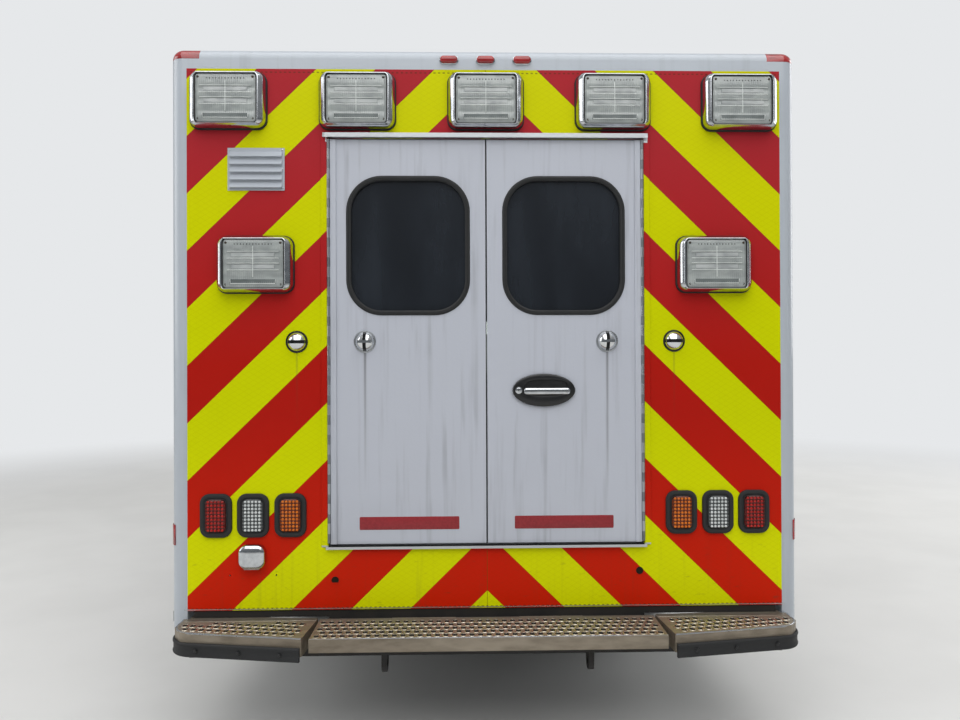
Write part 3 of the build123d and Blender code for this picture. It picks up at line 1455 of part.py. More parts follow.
# rear step: a folding middle and two swept ends, as pans of pressed plate
step_skin = 6.0
step_lip = 48.0
step_split = 8.0
front_split = 28.0
end_outer = 1165.0
end_sweep = 70.0
rubber_depth = 12.0
step_rear_y = rear_y - step_depth
with BuildPart() as step_middle:
    block((-step_half, step_half), (step_rear_y, step_front_y), (step_top - step_lip, step_top))
    block(
        (-step_half + step_skin, step_half - step_skin),
        (step_rear_y + step_skin, step_front_y - step_skin),
        (step_top - step_lip - 1, step_top - step_skin),
        mode=Mode.SUBTRACT,
    )
    add(step_hinge(True))
save(step_middle.part, "step_middle")

near = step_half + step_split
end_rear_y = step_rear_y + rubber_depth
end_outline = [
    (near, rear_y - 12, 0), (step_half + front_split, end_rear_y, 0),
    (end_outer - 40, end_rear_y + end_sweep, 30),
    (end_outer, end_rear_y + end_sweep + 50, 25), (end_outer, rear_y - 6, 0),
    (inner_half - 8, rear_y - 6, 0), (inner_half - 8, rear_y + 40, 0),
]
board_x = (cab_half - 60.0, half - 20.0)
board_y = (door_y[0] - 60.0, door_y[1] - 20.0)
with BuildPart() as fixed_steps:
    extrude(rounded_face(Plane.XY.offset(beam_z[1]), end_outline), amount=step_top - beam_z[1])
    extrude(
        rounded_face(Plane.XY.offset(beam_z[1] - 1), end_outline, step_skin),
        amount=step_top - beam_z[1] - step_skin + 1,
        mode=Mode.SUBTRACT,
    )
    # running boards under the cab doors
    block(board_x, board_y, (cab_bottom - 60, cab_bottom))
    block(grown(board_x, -8), grown(board_y, -8), (cab_bottom - 61, cab_bottom - 8), mode=Mode.SUBTRACT)
    mirror(about=Plane.YZ)
save(fixed_steps.part, "fixed_steps")

rubber_z = (442.0, 506.0)
rubber_near = step_half + front_split + 4.0
rubber_outline = [
    (rubber_near, end_rear_y, 0), (end_outer - 40, end_rear_y + end_sweep, 30),
    (end_outer, end_rear_y + end_sweep + 50, 25), (end_outer, rear_y - 20, 0),
    (end_outer + rubber_depth, rear_y - 20, 0), (end_outer + rubber_depth, end_rear_y + end_sweep + 42, 40),
    (end_outer - 30, end_rear_y + end_sweep - 22, 45), (rubber_near, step_rear_y, 0),
]
with BuildPart() as step_rubbers:
    extrude(rounded_face(Plane.XY.offset(rubber_z[0]), rubber_outline), amount=rubber_z[1] - rubber_z[0])
    mirror(about=Plane.YZ)
save(step_rubbers.part, "step_rubbers")
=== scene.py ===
import math
from functools import partial
import bmesh
import bpy
import numpy as np
from mathutils import Matrix


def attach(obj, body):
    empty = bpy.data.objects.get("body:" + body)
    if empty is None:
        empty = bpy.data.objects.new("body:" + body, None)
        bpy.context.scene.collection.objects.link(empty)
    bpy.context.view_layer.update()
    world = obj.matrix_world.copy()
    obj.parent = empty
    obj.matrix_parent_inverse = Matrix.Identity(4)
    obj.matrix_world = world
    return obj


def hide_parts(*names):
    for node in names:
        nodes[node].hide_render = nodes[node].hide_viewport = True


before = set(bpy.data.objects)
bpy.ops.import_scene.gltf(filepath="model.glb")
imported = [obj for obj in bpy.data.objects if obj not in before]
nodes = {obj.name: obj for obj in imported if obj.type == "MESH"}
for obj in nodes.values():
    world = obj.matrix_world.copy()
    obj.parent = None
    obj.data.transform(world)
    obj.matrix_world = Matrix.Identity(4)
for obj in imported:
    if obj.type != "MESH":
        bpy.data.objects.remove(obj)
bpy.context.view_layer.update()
scene = bpy.context.scene
print("frame loaded")

# small tools

def toLinear(code):  # sRGB hex to linear, with alpha 1
    parts = [int(code[i:i + 2], 16) / 255 for i in (1, 3, 5)]
    return [c / 12.92 if c <= 0.04045 else ((c + 0.055) / 1.055) ** 2.4 for c in parts] + [1]


def addNode(tree, kind, inputs=None, out=0, **settings):  # gives one output, or all when out is None
    node = tree.nodes.new("ShaderNode" + kind)
    for key, value in settings.items():
        setattr(node, key, value)
    for key, value in (inputs or {}).items():
        if isinstance(value, bpy.types.NodeSocket):
            tree.links.new(value, node.inputs[key])
        else:
            node.inputs[key].default_value = value
    return node.outputs if out is None or not node.outputs else node.outputs[out]


def newMaterial(name):  # an empty tree's adding function, and the object's own coordinates in metres
    material = bpy.data.materials.new(name)
    material.use_nodes = True
    material.node_tree.nodes.clear()
    add = partial(addNode, material.node_tree)
    return material, add, add("TexCoord", out="Object")


def shaded(add, inputs):  # the shader of a material, linked to its output
    add("OutputMaterial", {"Surface": add("BsdfPrincipled", inputs)})


def patches(add, place, size, low, high, start=0.0, end=1.0, stretch=(1, 1, 1), detail=3.0):
    # noise with lumps of a size in metres; values from low to high become patches from start to end
    moved = add("Mapping", {"Vector": place, "Scale": [s / size for s in stretch]})
    noise = add("TexNoise", {"Vector": moved, "Scale": 1.0, "Detail": detail, "Roughness": 0.55})
    limits = {"Value": noise, "From Min": low, "From Max": high, "To Min": start, "To Max": end}
    return add("MapRange", limits, interpolation_type="SMOOTHSTEP")


def within(add, parts, limits):  # 1 inside a box of limits in the given coordinates, else 0
    mask = 1.0
    for value, (low, high) in zip(parts, limits):
        near = add("Math", {0: value, 1: (low + high) / 2, 2: (high - low) / 2}, operation="COMPARE")
        mask = add("Math", {0: near, 1: mask}, operation="MULTIPLY")
    return mask


def layered(add, values, layers):  # colour, metal and roughness, each replaced where a layer's mask is 1
    colour, metal, rough = values
    for mask, code, newMetal, newRough in layers:
        colour = add("Mix", {0: mask, 6: colour, 7: toLinear(code)}, 2, data_type="RGBA")
        metal = add("Mix", {0: mask, 2: metal, 3: newMetal})
        rough = add("Mix", {0: mask, 2: rough, 3: newRough})
    return colour, metal, rough


# surfaces: every piece is one or more grids of points joined by quads

def surface(points, wrapU=False, wrapV=False):  # quads between neighbours; a wrapped side joins its ends
    m, n = points.shape[:2]
    index = np.arange(m * n).reshape(m, n)
    index = np.vstack([index, index[:1]]) if wrapU else index
    index = np.hstack([index, index[:, :1]]) if wrapV else index
    quads = np.stack([index[:-1, :-1], index[1:, :-1], index[1:, 1:], index[:-1, 1:]], -1)
    return points.reshape(-1, 3), quads.reshape(-1, 4)


def joined(parts):  # several surfaces as one list of points and quads
    starts = np.cumsum([0] + [len(p) for p, _ in parts])
    return np.vstack([p for p, _ in parts]), np.vstack([q + s for (_, q), s in zip(parts, starts)])


def scattered(part, origins, frames):  # a small surface repeated: origin + point times its frame
    points, quads = part
    origins, frames = np.asarray(origins, float), np.asarray(frames, float)
    if frames.ndim == 2:
        frames = np.broadcast_to(frames, (len(origins), 3, 3))
    places = origins[:, None, :] + np.einsum("pi,kij->kpj", points, frames)
    copies = quads[None] + (np.arange(len(origins)) * len(points))[:, None, None]
    return places.reshape(-1, 3), copies.reshape(-1, 4)


def mirrored(part):  # a surface and its mirror image about the middle plane
    points, quads = part
    return joined([part, (points * [-1, 1, 1], quads[:, ::-1])])


def addPiece(name, part, material, body="chassis", slot=None, replaced=(), sharp=38):
    points, quads = part
    mesh = bpy.data.meshes.new(name)
    mesh.from_pydata(points.tolist(), [], quads.tolist())
    shape = bmesh.new()
    shape.from_mesh(mesh)
    bmesh.ops.remove_doubles(shape, verts=shape.verts, dist=2e-6)
    bmesh.ops.dissolve_degenerate(shape, edges=shape.edges, dist=1e-7)
    bmesh.ops.recalc_face_normals(shape, faces=shape.faces)
    shape.to_mesh(mesh)
    shape.free()
    mesh.polygons.foreach_set("use_smooth", np.ones(len(mesh.polygons), bool))
    mesh.set_sharp_from_angle(angle=math.radians(sharp))
    mesh.materials.append(material)
    piece = bpy.data.objects.new(name, mesh)
    scene.collection.objects.link(piece)
    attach(piece, body)
    if replaced:
        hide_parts(*replaced)
    return piece


def roundedPath(width, height, radius, steps=8):  # points and outward directions round a rounded rectangle
    turn = (np.arange(4)[:, None] * 90 + np.linspace(0, 90, steps)[None, :]).ravel() * math.pi / 180
    outward = np.stack([np.cos(turn), np.sin(turn)], 1)
    signs = np.repeat([[1, 1], [-1, 1], [-1, -1], [1, -1]], steps, 0)
    return signs * [width / 2 - radius, height / 2 - radius] + radius * outward, outward


def ringSweep(path, profile, share=1.0):
    # a profile (outwards, up) carried round a closed path; share narrows it above and below
    points, outward = path
    profile = np.asarray(profile, float)
    flat = points[:, None, :] + (outward * [1, share])[:, None, :] * profile[None, :, :1]
    rise = np.broadcast_to(profile[None, :, 1:], flat.shape[:2] + (1,))
    return surface(np.concatenate([flat, rise], 2), True, True)


def turned(profile, steps=32):  # a profile (radius, height) turned about the height axis
    profile = np.asarray(profile, float)
    turn = np.arange(steps) * 2 * math.pi / steps
    ring = np.stack([np.cos(turn), np.sin(turn)], 1)
    flat = profile[:, None, :1] * ring[None]
    rise = np.broadcast_to(profile[:, None, 1:], flat.shape[:2] + (1,))
    return surface(np.concatenate([flat, rise], 2), False, True)


def lofted(path, levels):  # a closed solid: the path at levels (outwards, up), drawn to a point at each end
    points, outward = path
    rows = [points + outward * out for out, _ in levels]
    middle = np.zeros_like(points) + points.mean(0)
    rows = [middle] + rows + [middle]
    heights = [levels[0][1]] + [rise for _, rise in levels] + [levels[-1][1]]
    grid = np.stack([np.column_stack([row, np.full(len(row), rise)]) for row, rise in zip(rows, heights)])
    return surface(grid, False, True)


def heightField(across, up, height, base=0.0, shape=None):
    # a grid raised by height(a, b), closed by sides down to the base and a flat back
    a, b = np.meshgrid(across, up, indexing="ij")
    if shape:
        a, b = roundCorners(a, b, *shape)
    grid = np.stack([a, b, height(a, b)], 2)
    grid = np.pad(grid, ((1, 1), (1, 1), (0, 0)), mode="edge")
    for edge in (np.s_[0], np.s_[-1]):
        grid[edge, :, 2] = base
        grid[:, edge, 2] = base
    grid = np.pad(grid, ((1, 1), (1, 1), (0, 0)), mode="edge")
    middle = [(across[0] + across[-1]) / 2, (up[0] + up[-1]) / 2, base]
    for edge in (np.s_[0], np.s_[-1]):
        grid[edge, :] = middle
        grid[:, edge] = middle
    return surface(grid)


def roundCorners(a, b, width, height, radius):  # points beyond a corner's arc are drawn back onto it
    overA = np.maximum(np.abs(a) - (width / 2 - radius), 0)
    overB = np.maximum(np.abs(b) - (height / 2 - radius), 0)
    share = np.minimum(1, radius / np.maximum(np.hypot(overA, overB), 1e-9))
    newA = np.sign(a) * (np.minimum(np.abs(a), width / 2 - radius) + overA * share)
    newB = np.sign(b) * (np.minimum(np.abs(b), height / 2 - radius) + overB * share)
    return newA, newB


def smooth(value, low, high):  # smooth step
    t = np.clip((value - low) / (high - low), 0, 1)
    return t * t * (3 - 2 * t)


def shifted(part, shift):  # a surface moved by (a, b, c)
    return part[0] + shift, part[1]


def boxPart(low, high, bevel=0.003):  # a block with rounded upright edges and bevelled ends
    low, high = np.asarray(low, float), np.asarray(high, float)
    size = high - low
    bevel = min(bevel, size.min() / 2.1)
    path = roundedPath(size[0], size[1], bevel, 4)
    levels = [(-bevel * 0.7, 0), (0, bevel), (0, size[2] - bevel), (-bevel * 0.7, size[2])]
    points, quads = lofted(path, levels)
    return points + [(low[0] + high[0]) / 2, (low[1] + high[1]) / 2, low[2]], quads


def tube(points, radius, steps=10, up=(0, 0, 1)):  # a round bar along a line, closed at its ends
    points = np.asarray(points, float)
    ahead = np.gradient(points, axis=0)
    ahead /= np.linalg.norm(ahead, axis=1)[:, None]
    side = np.cross(ahead, up)
    side /= np.linalg.norm(side, axis=1)[:, None]
    over = np.cross(side, ahead)
    turn = np.arange(steps) * 2 * math.pi / steps
    ring = side[:, None] * np.cos(turn)[None, :, None] + over[:, None] * np.sin(turn)[None, :, None]
    grid = points[:, None] + radius * ring
    ends = [np.broadcast_to(points[k], (1, steps, 3)) for k in (0, -1)]
    return surface(np.concatenate([ends[0], grid, ends[1]]), False, True)


def bent(corners, radius, steps=6):  # a line through corners, each rounded by a quadratic curve
    corners = np.asarray(corners, float)
    rows = [corners[:1]]
    for before, corner, after in zip(corners, corners[1:], corners[2:]):
        start = corner + (before - corner) * min(0.45, radius / np.linalg.norm(before - corner))
        end = corner + (after - corner) * min(0.45, radius / np.linalg.norm(after - corner))
        t = np.linspace(0, 1, steps)[:, None]
        rows.append((1 - t) ** 2 * start + 2 * t * (1 - t) * corner + t ** 2 * end)
    return np.vstack(rows + [corners[-1:]])


# faces of the module as frames: rows are across, up and out
rearY, sideX, frontY = -3.124, 1.219, 1.060
rearFrame = np.array([[1, 0, 0], [0, 0, 1], [0, -1, 0]])
frontFrame = np.array([[-1, 0, 0], [0, 0, 1], [0, 1, 0]])
rightFrame = np.array([[0, 1, 0], [0, 0, 1], [1, 0, 0]])
leftFrame = np.array([[0, -1, 0], [0, 0, 1], [-1, 0, 0]])
upFrame = np.eye(3)


def onRear(spots, out=0.0):  # places on the rear face from (x, z)
    return [[x, rearY - out, z] for x, z in spots]


def addRear(name, part, spots, material, *rest, out=0.0, **more):  # a part repeated on the rear face
    return addPiece(name, scattered(part, onRear(spots, out), rearFrame), material, *rest, **more)

# materials

def stains(add, away, z, spots):  # dirt below spots (distance, top, length, half width), 1 at its middle
    total = 0.0
    for distance, top, length, reach in spots:
        aside = add("Math", {0: away, 1: distance}, operation="SUBTRACT")
        aside = add("Math", {0: aside}, operation="ABSOLUTE")
        narrow = add("MapRange", {"Value": aside, "From Max": reach, "To Min": 1.0, "To Max": 0.0})
        fade = add("MapRange", {"Value": z, "From Min": top - length, "From Max": top})
        under = add("Math", {0: z, 1: top}, operation="LESS_THAN")
        shown = add("Math", {0: narrow, 1: fade}, operation="MULTIPLY")
        total = add("Math", {0: shown, 1: under, 2: total}, operation="MULTIPLY_ADD")
    return total


# polyurethane enamel, sprayed over sheet: even gloss with a faint orange peel, and grime that has run down
def enamel(name, paint, dirt, streaks, bands=(), zones=(), gloss=0.3, leans=(0, 0), spots=()):
    material, add, place = newMaterial(name)
    x, y, z = add("SeparateXYZ", {0: place}, None)
    away = add("Math", {0: x}, operation="ABSOLUTE")
    # above the belt the cab's sides and windshield lean in; with this they read as upright in the zones
    above = []
    for belt in (1.18, 1.29):
        over = add("Math", {0: z, 1: belt}, operation="SUBTRACT")
        above.append(add("Math", {0: over, 1: 0.0}, operation="MAXIMUM"))
    upright = add("Math", {0: above[0], 1: leans[0], 2: away}, operation="MULTIPLY_ADD")
    level = add("Math", {0: above[1], 1: leans[1], 2: y}, operation="MULTIPLY_ADD")
    runs = patches(add, place, 0.03, 0.5, 0.74, 0, streaks, (1, 1, 0.05))
    clouds = patches(add, place, 0.35, 0.35, 0.75, 0, 0.4)
    low = add("MapRange", {"Value": z, "From Min": 0.45, "From Max": 1.3, "To Min": 0.35, "To Max": 0.0})
    splash = add("Math", {0: low, 1: clouds}, operation="MULTIPLY")
    shown = add("Math", {0: clouds, 1: 0.25}, operation="ADD")
    amount = add("Math", {0: runs, 1: shown, 2: splash}, operation="MULTIPLY_ADD")
    if spots:
        run = stains(add, away, z, spots)
        amount = add("Math", {0: run, 1: 0.75, 2: amount}, operation="MULTIPLY_ADD", use_clamp=True)
    colour = toLinear(paint)
    for code, limits in bands:
        mask = within(add, (away, z), limits)
        colour = add("Mix", {0: mask, 6: colour, 7: toLinear(code)}, 2, data_type="RGBA")
    colour = add("Mix", {0: amount, 6: colour, 7: toLinear(dirt)}, 2, data_type="RGBA")
    rough = add("MapRange", {"Value": amount, "From Max": 0.5, "To Min": gloss, "To Max": gloss + 0.25})
    layers = [(within(add, (upright, level, z), limits), *rest) for limits, *rest in zones]
    colour, metal, rough = layered(add, (colour, 0.0, rough), layers)
    peel = patches(add, place, 0.012, 0.2, 0.8, detail=1.0)
    skin = add("Bump", {"Height": peel, "Distance": 0.0005, "Strength": 0.22})
    shaded(add, {
        "Base Color": colour, "Roughness": rough, "Metallic": metal, "Normal": skin, "IOR": 1.5,
        "Coat Weight": 0.2, "Coat Roughness": 0.12,
    })
    return material


# limits of zones: distance from the middle plane, y and z; the red belt band is in distance and z
allY, allZ = (-5, 5), (-1, 4)
beltBands = [("#a81c1e", ((1.0, 2.0), (1.135, 1.265))), ("#a81c1e", ((1.0, 2.0), (1.095, 1.112)))]
moduleZones = [
    (((1.2203, 2.0), allY, allZ), "#9fa2a5", 1.0, 0.36),
    (((0.0, 1.168), (-3.0, 1.05), allZ), "#c9ccce", 0.0, 0.5),
]
doorZones = [
    (((0.4, 0.54), (-3.3, rearY - 0.0008), (1.45, 1.75)), "#d4d6d8", 1.0, 0.1),
    (((0.6035, 0.62), (-3.3, rearY - 0.0008), allZ), "#a4a7aa", 1.0, 0.38),
]
cabZones = [
    (((1.0165, 2.0), allY, (1.068, 1.112)), "#1d1e20", 0.0, 0.4),
    (((0.0, 0.4702), (3.2, 3.5), (0.6602, 0.9498)), "#1a1b1d", 0.0, 0.45),
    (((0.0, 0.493), (3.2505, 3.5), (0.6, 1.0)), "#bfc2c5", 1.0, 0.16),
    (((0.0, 1.002), (-5, 2.285), (0.5, 2.0)), "#8b8e92", 0.0, 0.6),
]
bodyEnamel = enamel("polyurethane enamel, white", "#d9dcdf", "#6f6a60", 0.22, beltBands, moduleZones)
cabEnamel = enamel(
    "automotive enamel, white", "#d9dcdf", "#6f6a60", 0.12, beltBands, cabZones, 0.22, (0.0994, 0.6443))
# the rear doors' white enamel, drawn in a darker, bluer grey: painted shade
shadedDoorEnamel = enamel(
    "polyurethane enamel, rear doors", "#b9bdc7", "#45423f", 0.46, (), doorZones, 0.36,
    spots=[(0.470, 1.556, 0.55, 0.007)])
# the roof's and posts' white enamel, drawn in a darker, bluer grey: painted shade
shadedRoofEnamel = enamel("polyurethane enamel, roof and posts, in painted shade", "#b0b7bf", "#5b5954", 0.25)

# prismatic reflective vinyl, red and yellow-green: bright flat colour under a fine lattice of sealed cells
chevrons = {
    "top": 3.499, "pitch": 0.2212, "slope": 0.97, "cell": 0.011, "seam": "#5c4a10", "dirt": "#45412f",
    "fading": ((0.6, 1.3), (1.5, 2.4)),
    "red": ("#cb2206", "#ad1a12", "#a82a32"), "yellow": ("#d9de00", "#c8d000", "#ccce00"),
}


def chevronVinyl():
    material, add, place = newMaterial("reflective vinyl, chevrons")
    x, y, z = add("SeparateXYZ", {0: place}, None)
    side = add("Math", {0: x}, operation="ABSOLUTE")
    rise = add("Math", {0: side, 1: chevrons["slope"], 2: z}, operation="MULTIPLY_ADD")
    drop = add("Math", {0: chevrons["top"], 1: rise}, operation="SUBTRACT")
    turns = add("Math", {0: drop, 1: 0.5 / chevrons["pitch"], 2: 4.0}, operation="MULTIPLY_ADD")
    yellow = add("Math", {0: add("Math", {0: turns}, operation="FRACT"), 1: 0.5}, operation="GREATER_THAN")
    edge = add("Math", {0: turns, 1: 0.25}, operation="PINGPONG")
    seam = add("Math", {0: edge, 1: 0.0016}, operation="LESS_THAN")
    # both colours have faded with height: the low ones are the strongest
    shares = [add("MapRange", {"Value": z, "From Min": a, "From Max": b}) for a, b in chevrons["fading"]]
    tones = []
    for key in ("red", "yellow"):
        low, middle, high = (toLinear(code) for code in chevrons[key])
        blend = add("Mix", {0: shares[0], 6: low, 7: middle}, 2, data_type="RGBA")
        tones.append(add("Mix", {0: shares[1], 6: blend, 7: high}, 2, data_type="RGBA"))
    colour = add("Mix", {0: yellow, 6: tones[0], 7: tones[1]}, 2, data_type="RGBA")
    # sealed cells of the sheeting, drawn larger than the real ones so that they show
    cells = []
    for lean in (0.6, -0.6):
        slant = add("Math", {0: x, 1: lean, 2: z}, operation="MULTIPLY_ADD")
        cells.append(add("Math", {0: slant, 1: chevrons["cell"]}, operation="PINGPONG"))
    lattice = add("Math", {0: cells[0], 1: cells[1]}, operation="MINIMUM")
    line = add("MapRange", {"Value": lattice, "From Max": 0.0016, "To Min": 1.0, "To Max": 0.0})
    faint = add("Math", {0: line, 1: 0.1}, operation="MULTIPLY")
    colour = add("Mix", {0: faint, 6: colour, 7: toLinear("#6a3a08")}, 2, data_type="RGBA")
    dark = add("Math", {0: seam, 1: 0.55}, operation="MULTIPLY")
    colour = add("Mix", {0: dark, 6: colour, 7: toLinear(chevrons["seam"])}, 2, data_type="RGBA")
    # the sheets meet in the middle plane
    joint = add("Math", {0: within(add, (x,), ((-0.0013, 0.0013),)), 1: 0.6}, operation="MULTIPLY")
    colour = add("Mix", {0: joint, 6: colour, 7: toLinear(chevrons["seam"])}, 2, data_type="RGBA")
    # a row of dark stitches where the sheeting is sealed along its top and bottom edges
    stitch = add("Math", {0: x, 1: 0.009}, operation="PINGPONG")
    stitch = add("Math", {0: stitch, 1: 0.0045}, operation="LESS_THAN")
    top = within(add, (z,), ((2.6275, 2.6325),))
    foot = within(add, (z,), ((0.5615, 0.5655),))
    sealed = add("Math", {0: top, 1: foot}, operation="ADD")
    dashes = add("Math", {0: sealed, 1: stitch}, operation="MULTIPLY")
    dashes = add("Math", {0: dashes, 1: 0.6}, operation="MULTIPLY")
    colour = add("Mix", {0: dashes, 6: colour, 7: toLinear("#3a3020")}, 2, data_type="RGBA")
    # scuffs and grime, thick near the step and thin above it
    scuff = patches(add, place, 0.022, 0.60, 0.74, 0, 0.35, (0.5, 1, 1.6), 6.0)
    runs = patches(add, place, 0.02, 0.52, 0.8, 0, 0.14, (1, 1, 0.05))
    low = add("MapRange", {"Value": z, "From Min": 0.55, "From Max": 1.05, "To Min": 1.0, "To Max": 0.14})
    both = add("Math", {0: scuff, 1: runs}, operation="ADD")
    marks = stains(add, side, z, [(0.732, 1.552, 0.3, 0.006)])
    marks = add("Math", {0: marks, 1: 0.35}, operation="MULTIPLY")
    amount = add("Math", {0: both, 1: low, 2: marks}, operation="MULTIPLY_ADD")
    colour = add("Mix", {0: amount, 6: colour, 7: toLinear(chevrons["dirt"])}, 2, data_type="RGBA")
    # what stands proud of the sheet is bare metal or, in turn, chrome cups, dark plugs, the drip rail, the
    # painted vent, the threshold and the shadow line under the doors; the inner face is a liner
    out, cups = (-3.3, rearY - 0.0008), (-3.3, rearY - 0.0015)
    layers = [
        (within(add, (x, y, z), ((-2, 2), (-3.3, rearY - 0.0055), (0.5, 2.8))), "#b4b7ba", 1.0, 0.32),
        (within(add, (side, y, z), ((0.69, 0.775), cups, (1.54, 1.64))), "#d4d6d8", 1.0, 0.1),
        (within(add, (side, y, z), ((0.56, 0.64), out, (0.66, 0.73))), "#26211b", 0.0, 0.6),
        (within(add, (x, y, z), ((-0.62, 0.63), out, (2.36, 2.40))), "#d4d7da", 1.0, 0.3),
        (within(add, (x, y, z), ((-0.66, 0.66), out, (0.7880, 0.8035))), "#c6c9cc", 1.0, 0.34),
        (within(add, (x, y, z), ((-0.61, 0.61), (-3.3, rearY + 0.02), (0.799, 0.8035))),
         "#1a1a1b", 0.0, 0.7),
        # the vent's white paint, drawn in a darker, bluer grey: painted shade
        (within(add, (x, y, z), ((-1.0, -0.77), out, (2.16, 2.35))), "#aeb4bc", 0.0, 0.42),
        (within(add, (x, y, z), ((-2, 2), (rearY + 0.003, 0), (0.5, 2.8))), "#b4b8ba", 0.0, 0.5),
    ]
    colour, metal, rough = layered(add, (colour, 0.0, 0.38), layers)
    wave = patches(add, place, 0.25, 0.2, 0.8)
    height = add("Math", {0: line, 1: 0.25, 2: wave}, operation="MULTIPLY_ADD")
    skin = add("Bump", {"Height": height, "Distance": 0.0012, "Strength": 0.3})
    shaded(add, {
        "Base Color": colour, "Roughness": rough, "Metallic": metal, "Normal": skin,
        "Specular IOR Level": 0.06,
    })
    return material


chevronSheet = chevronVinyl()

# plain finishes: name, two tones, lump size, stretch, relief, metal, roughness
finishes = {
    # extruded aluminium, mill finish that has dulled: soft grey metal with fine lines along it
    "aluminium": ("mill aluminium", "#9a9da0", "#75787c", 0.05, (0.05, 1, 1), 0.0004, 1.0, 0.42),
    # step plate, walked on: grey metal, filthy in its hollows, so that it mirrors nothing
    "step": ("aluminium tread plate, dirty", "#978d7e", "#746a5c", 0.03, (0.3, 1, 1), 0.0004, 0.6, 0.5),
    # the holes of the tread plate: painted shade, dull and near black, over caked dry dirt
    "caked": ("painted hole shade over caked road dirt", "#12100d", "#1e1a15", 0.01, (1, 1, 1), 0.0, 0.0, 1.0),
    # the edges of the tread plate, rubbed bright by boots, and lighter still as a painted highlight
    "edge": ("aluminium tread plate, rubbed, with painted highlight", "#c2baab", "#9a917f", 0.03, (1, 1, 1), 0.0003, 0.85, 0.34),
    # polished stainless wheel covers with a film of road dust
    "cover": ("polished stainless steel", "#d2d4d6", "#a9a59e", 0.06, (1, 1, 1), 0.0001, 1.0, 0.14),
    # bright aluminium extrusion: cleaner and smoother than the steps
    "trim": ("bright aluminium trim", "#c4c7ca", "#a3a7ab", 0.05, (1, 1, 0.05), 0.0002, 1.0, 0.28),
    # chrome plate on die-cast zinc: a mirror, a little hazed
    "chrome": ("chrome plate", "#d2d5d8", "#aeb2b6", 0.02, (1, 1, 1), 0.0001, 1.0, 0.12),
    # chassis enamel over steel, road-worn: dull black with brown dust
    "frame": ("chassis enamel, black", "#19191a", "#2c2823", 0.05, (1, 1, 1), 0.0010, 0.0, 0.66),
    # grey cast iron, sand cast: coarse dull skin
    "cast": ("cast iron", "#3a3836", "#524539", 0.012, (1, 1, 1), 0.0015, 0.4, 0.7),
    # EPDM rubber, moulded: matt black going grey
    "rubber": ("moulded EPDM rubber", "#161718", "#28292a", 0.02, (1, 1, 1), 0.0006, 0.0, 0.72),
    # tyre compound: black with a brown bloom of road dust
    "tyre": ("tyre rubber", "#1a1a1a", "#302d29", 0.03, (1, 1, 1), 0.0005, 0.0, 0.82),
    # pressed stainless wheel liner, polished
    "wheel": ("polished stainless steel", "#b9bcbf", "#8d8e8e", 0.04, (1, 1, 1), 0.0002, 1.0, 0.2),
    # ABS, grained in its mould
    "plastic": ("grained ABS, charcoal", "#1e1f21", "#292a2c", 0.004, (1, 1, 1), 0.0003, 0.0, 0.5),
    # smooth black enamel on a zinc casting
    "black": ("black enamel on zinc", "#0f1011", "#1b1c1e", 0.02, (1, 1, 1), 0.0002, 0.0, 0.3),
    # melamine laminate on the cabinets: pale grey, finely speckled
    "laminate": ("melamine laminate, pale grey", "#bfc3c5", "#adb1b4", 0.006, (1, 1, 1), 0.0001, 0.0, 0.4),
    # sheet vinyl flooring with quartz grit
    "floor": ("safety vinyl flooring", "#4f5358", "#686c70", 0.004, (1, 1, 1), 0.0004, 0.0, 0.65),
    # coated fabric on the seats, embossed like leather
    "seat": ("coated upholstery vinyl, grey", "#474b51", "#393d43", 0.005, (1, 1, 1), 0.0007, 0.0, 0.48),
    # retroreflective tape, red: flat colour with a faint mesh
    "redTape": ("retroreflective tape, red", "#94222a", "#7f1c22", 0.008, (1, 1, 1), 0.0002, 0.0, 0.42),
    # silvered mirror glass
    "mirror": ("silvered glass", "#d9dde0", "#ced3d6", 0.2, (1, 1, 1), 0.0, 1.0, 0.04),
    # vacuum-metallised lamp reflector
    "reflector": ("metallised reflector", "#d6d8da", "#bfc2c4", 0.01, (1, 1, 1), 0.0004, 1.0, 0.15),
}


def plainFinish(key):
    name, first, second, size, stretch, relief, metal, level = finishes[key]
    material, add, place = newMaterial(name)
    fine = patches(add, place, size, 0.3, 0.7, 0, 0.6, stretch, 6.0)
    wide = patches(add, place, 0.4, 0.35, 0.7, 0, 0.4, detail=2.0)
    share = add("Math", {0: fine, 1: wide}, operation="ADD")
    colour = add("Mix", {0: share, 6: toLinear(first), 7: toLinear(second)}, 2, data_type="RGBA")
    rough = add("MapRange", {"Value": share, "To Min": level * 0.85, "To Max": min(1, level * 1.25)})
    skin = add("Bump", {"Height": fine, "Distance": relief, "Strength": 0.5})
    shaded(add, {"Base Color": colour, "Roughness": rough, "Metallic": metal, "Normal": skin})
    return material


finish = {key: plainFinish(key) for key in finishes}


# laminated safety glass with a green cast, and privacy glass, nearly black; both carry a film of road dust
def glazing(name, tint, film, clear, rough):
    material, add, place = newMaterial(name)
    dust = patches(add, place, 0.15, 0.35, 0.8, 0, 0.5, (1, 1, 0.3), 4.0)
    colour = add("Mix", {0: dust, 6: toLinear(tint), 7: toLinear(film)}, 2, data_type="RGBA")
    haze = add("MapRange", {"Value": dust, "To Min": rough, "To Max": rough + 0.1})
    shaded(add, {"Base Color": colour, "Roughness": haze, "IOR": 1.5, "Transmission Weight": clear})
    return material


clearGlass = glazing("laminated glass, green cast", "#dfeae4", "#cfd8d2", 1.0, 0.01)
darkGlass = glazing("privacy glass", "#1c2026", "#343a42", 0.12, 0.05)


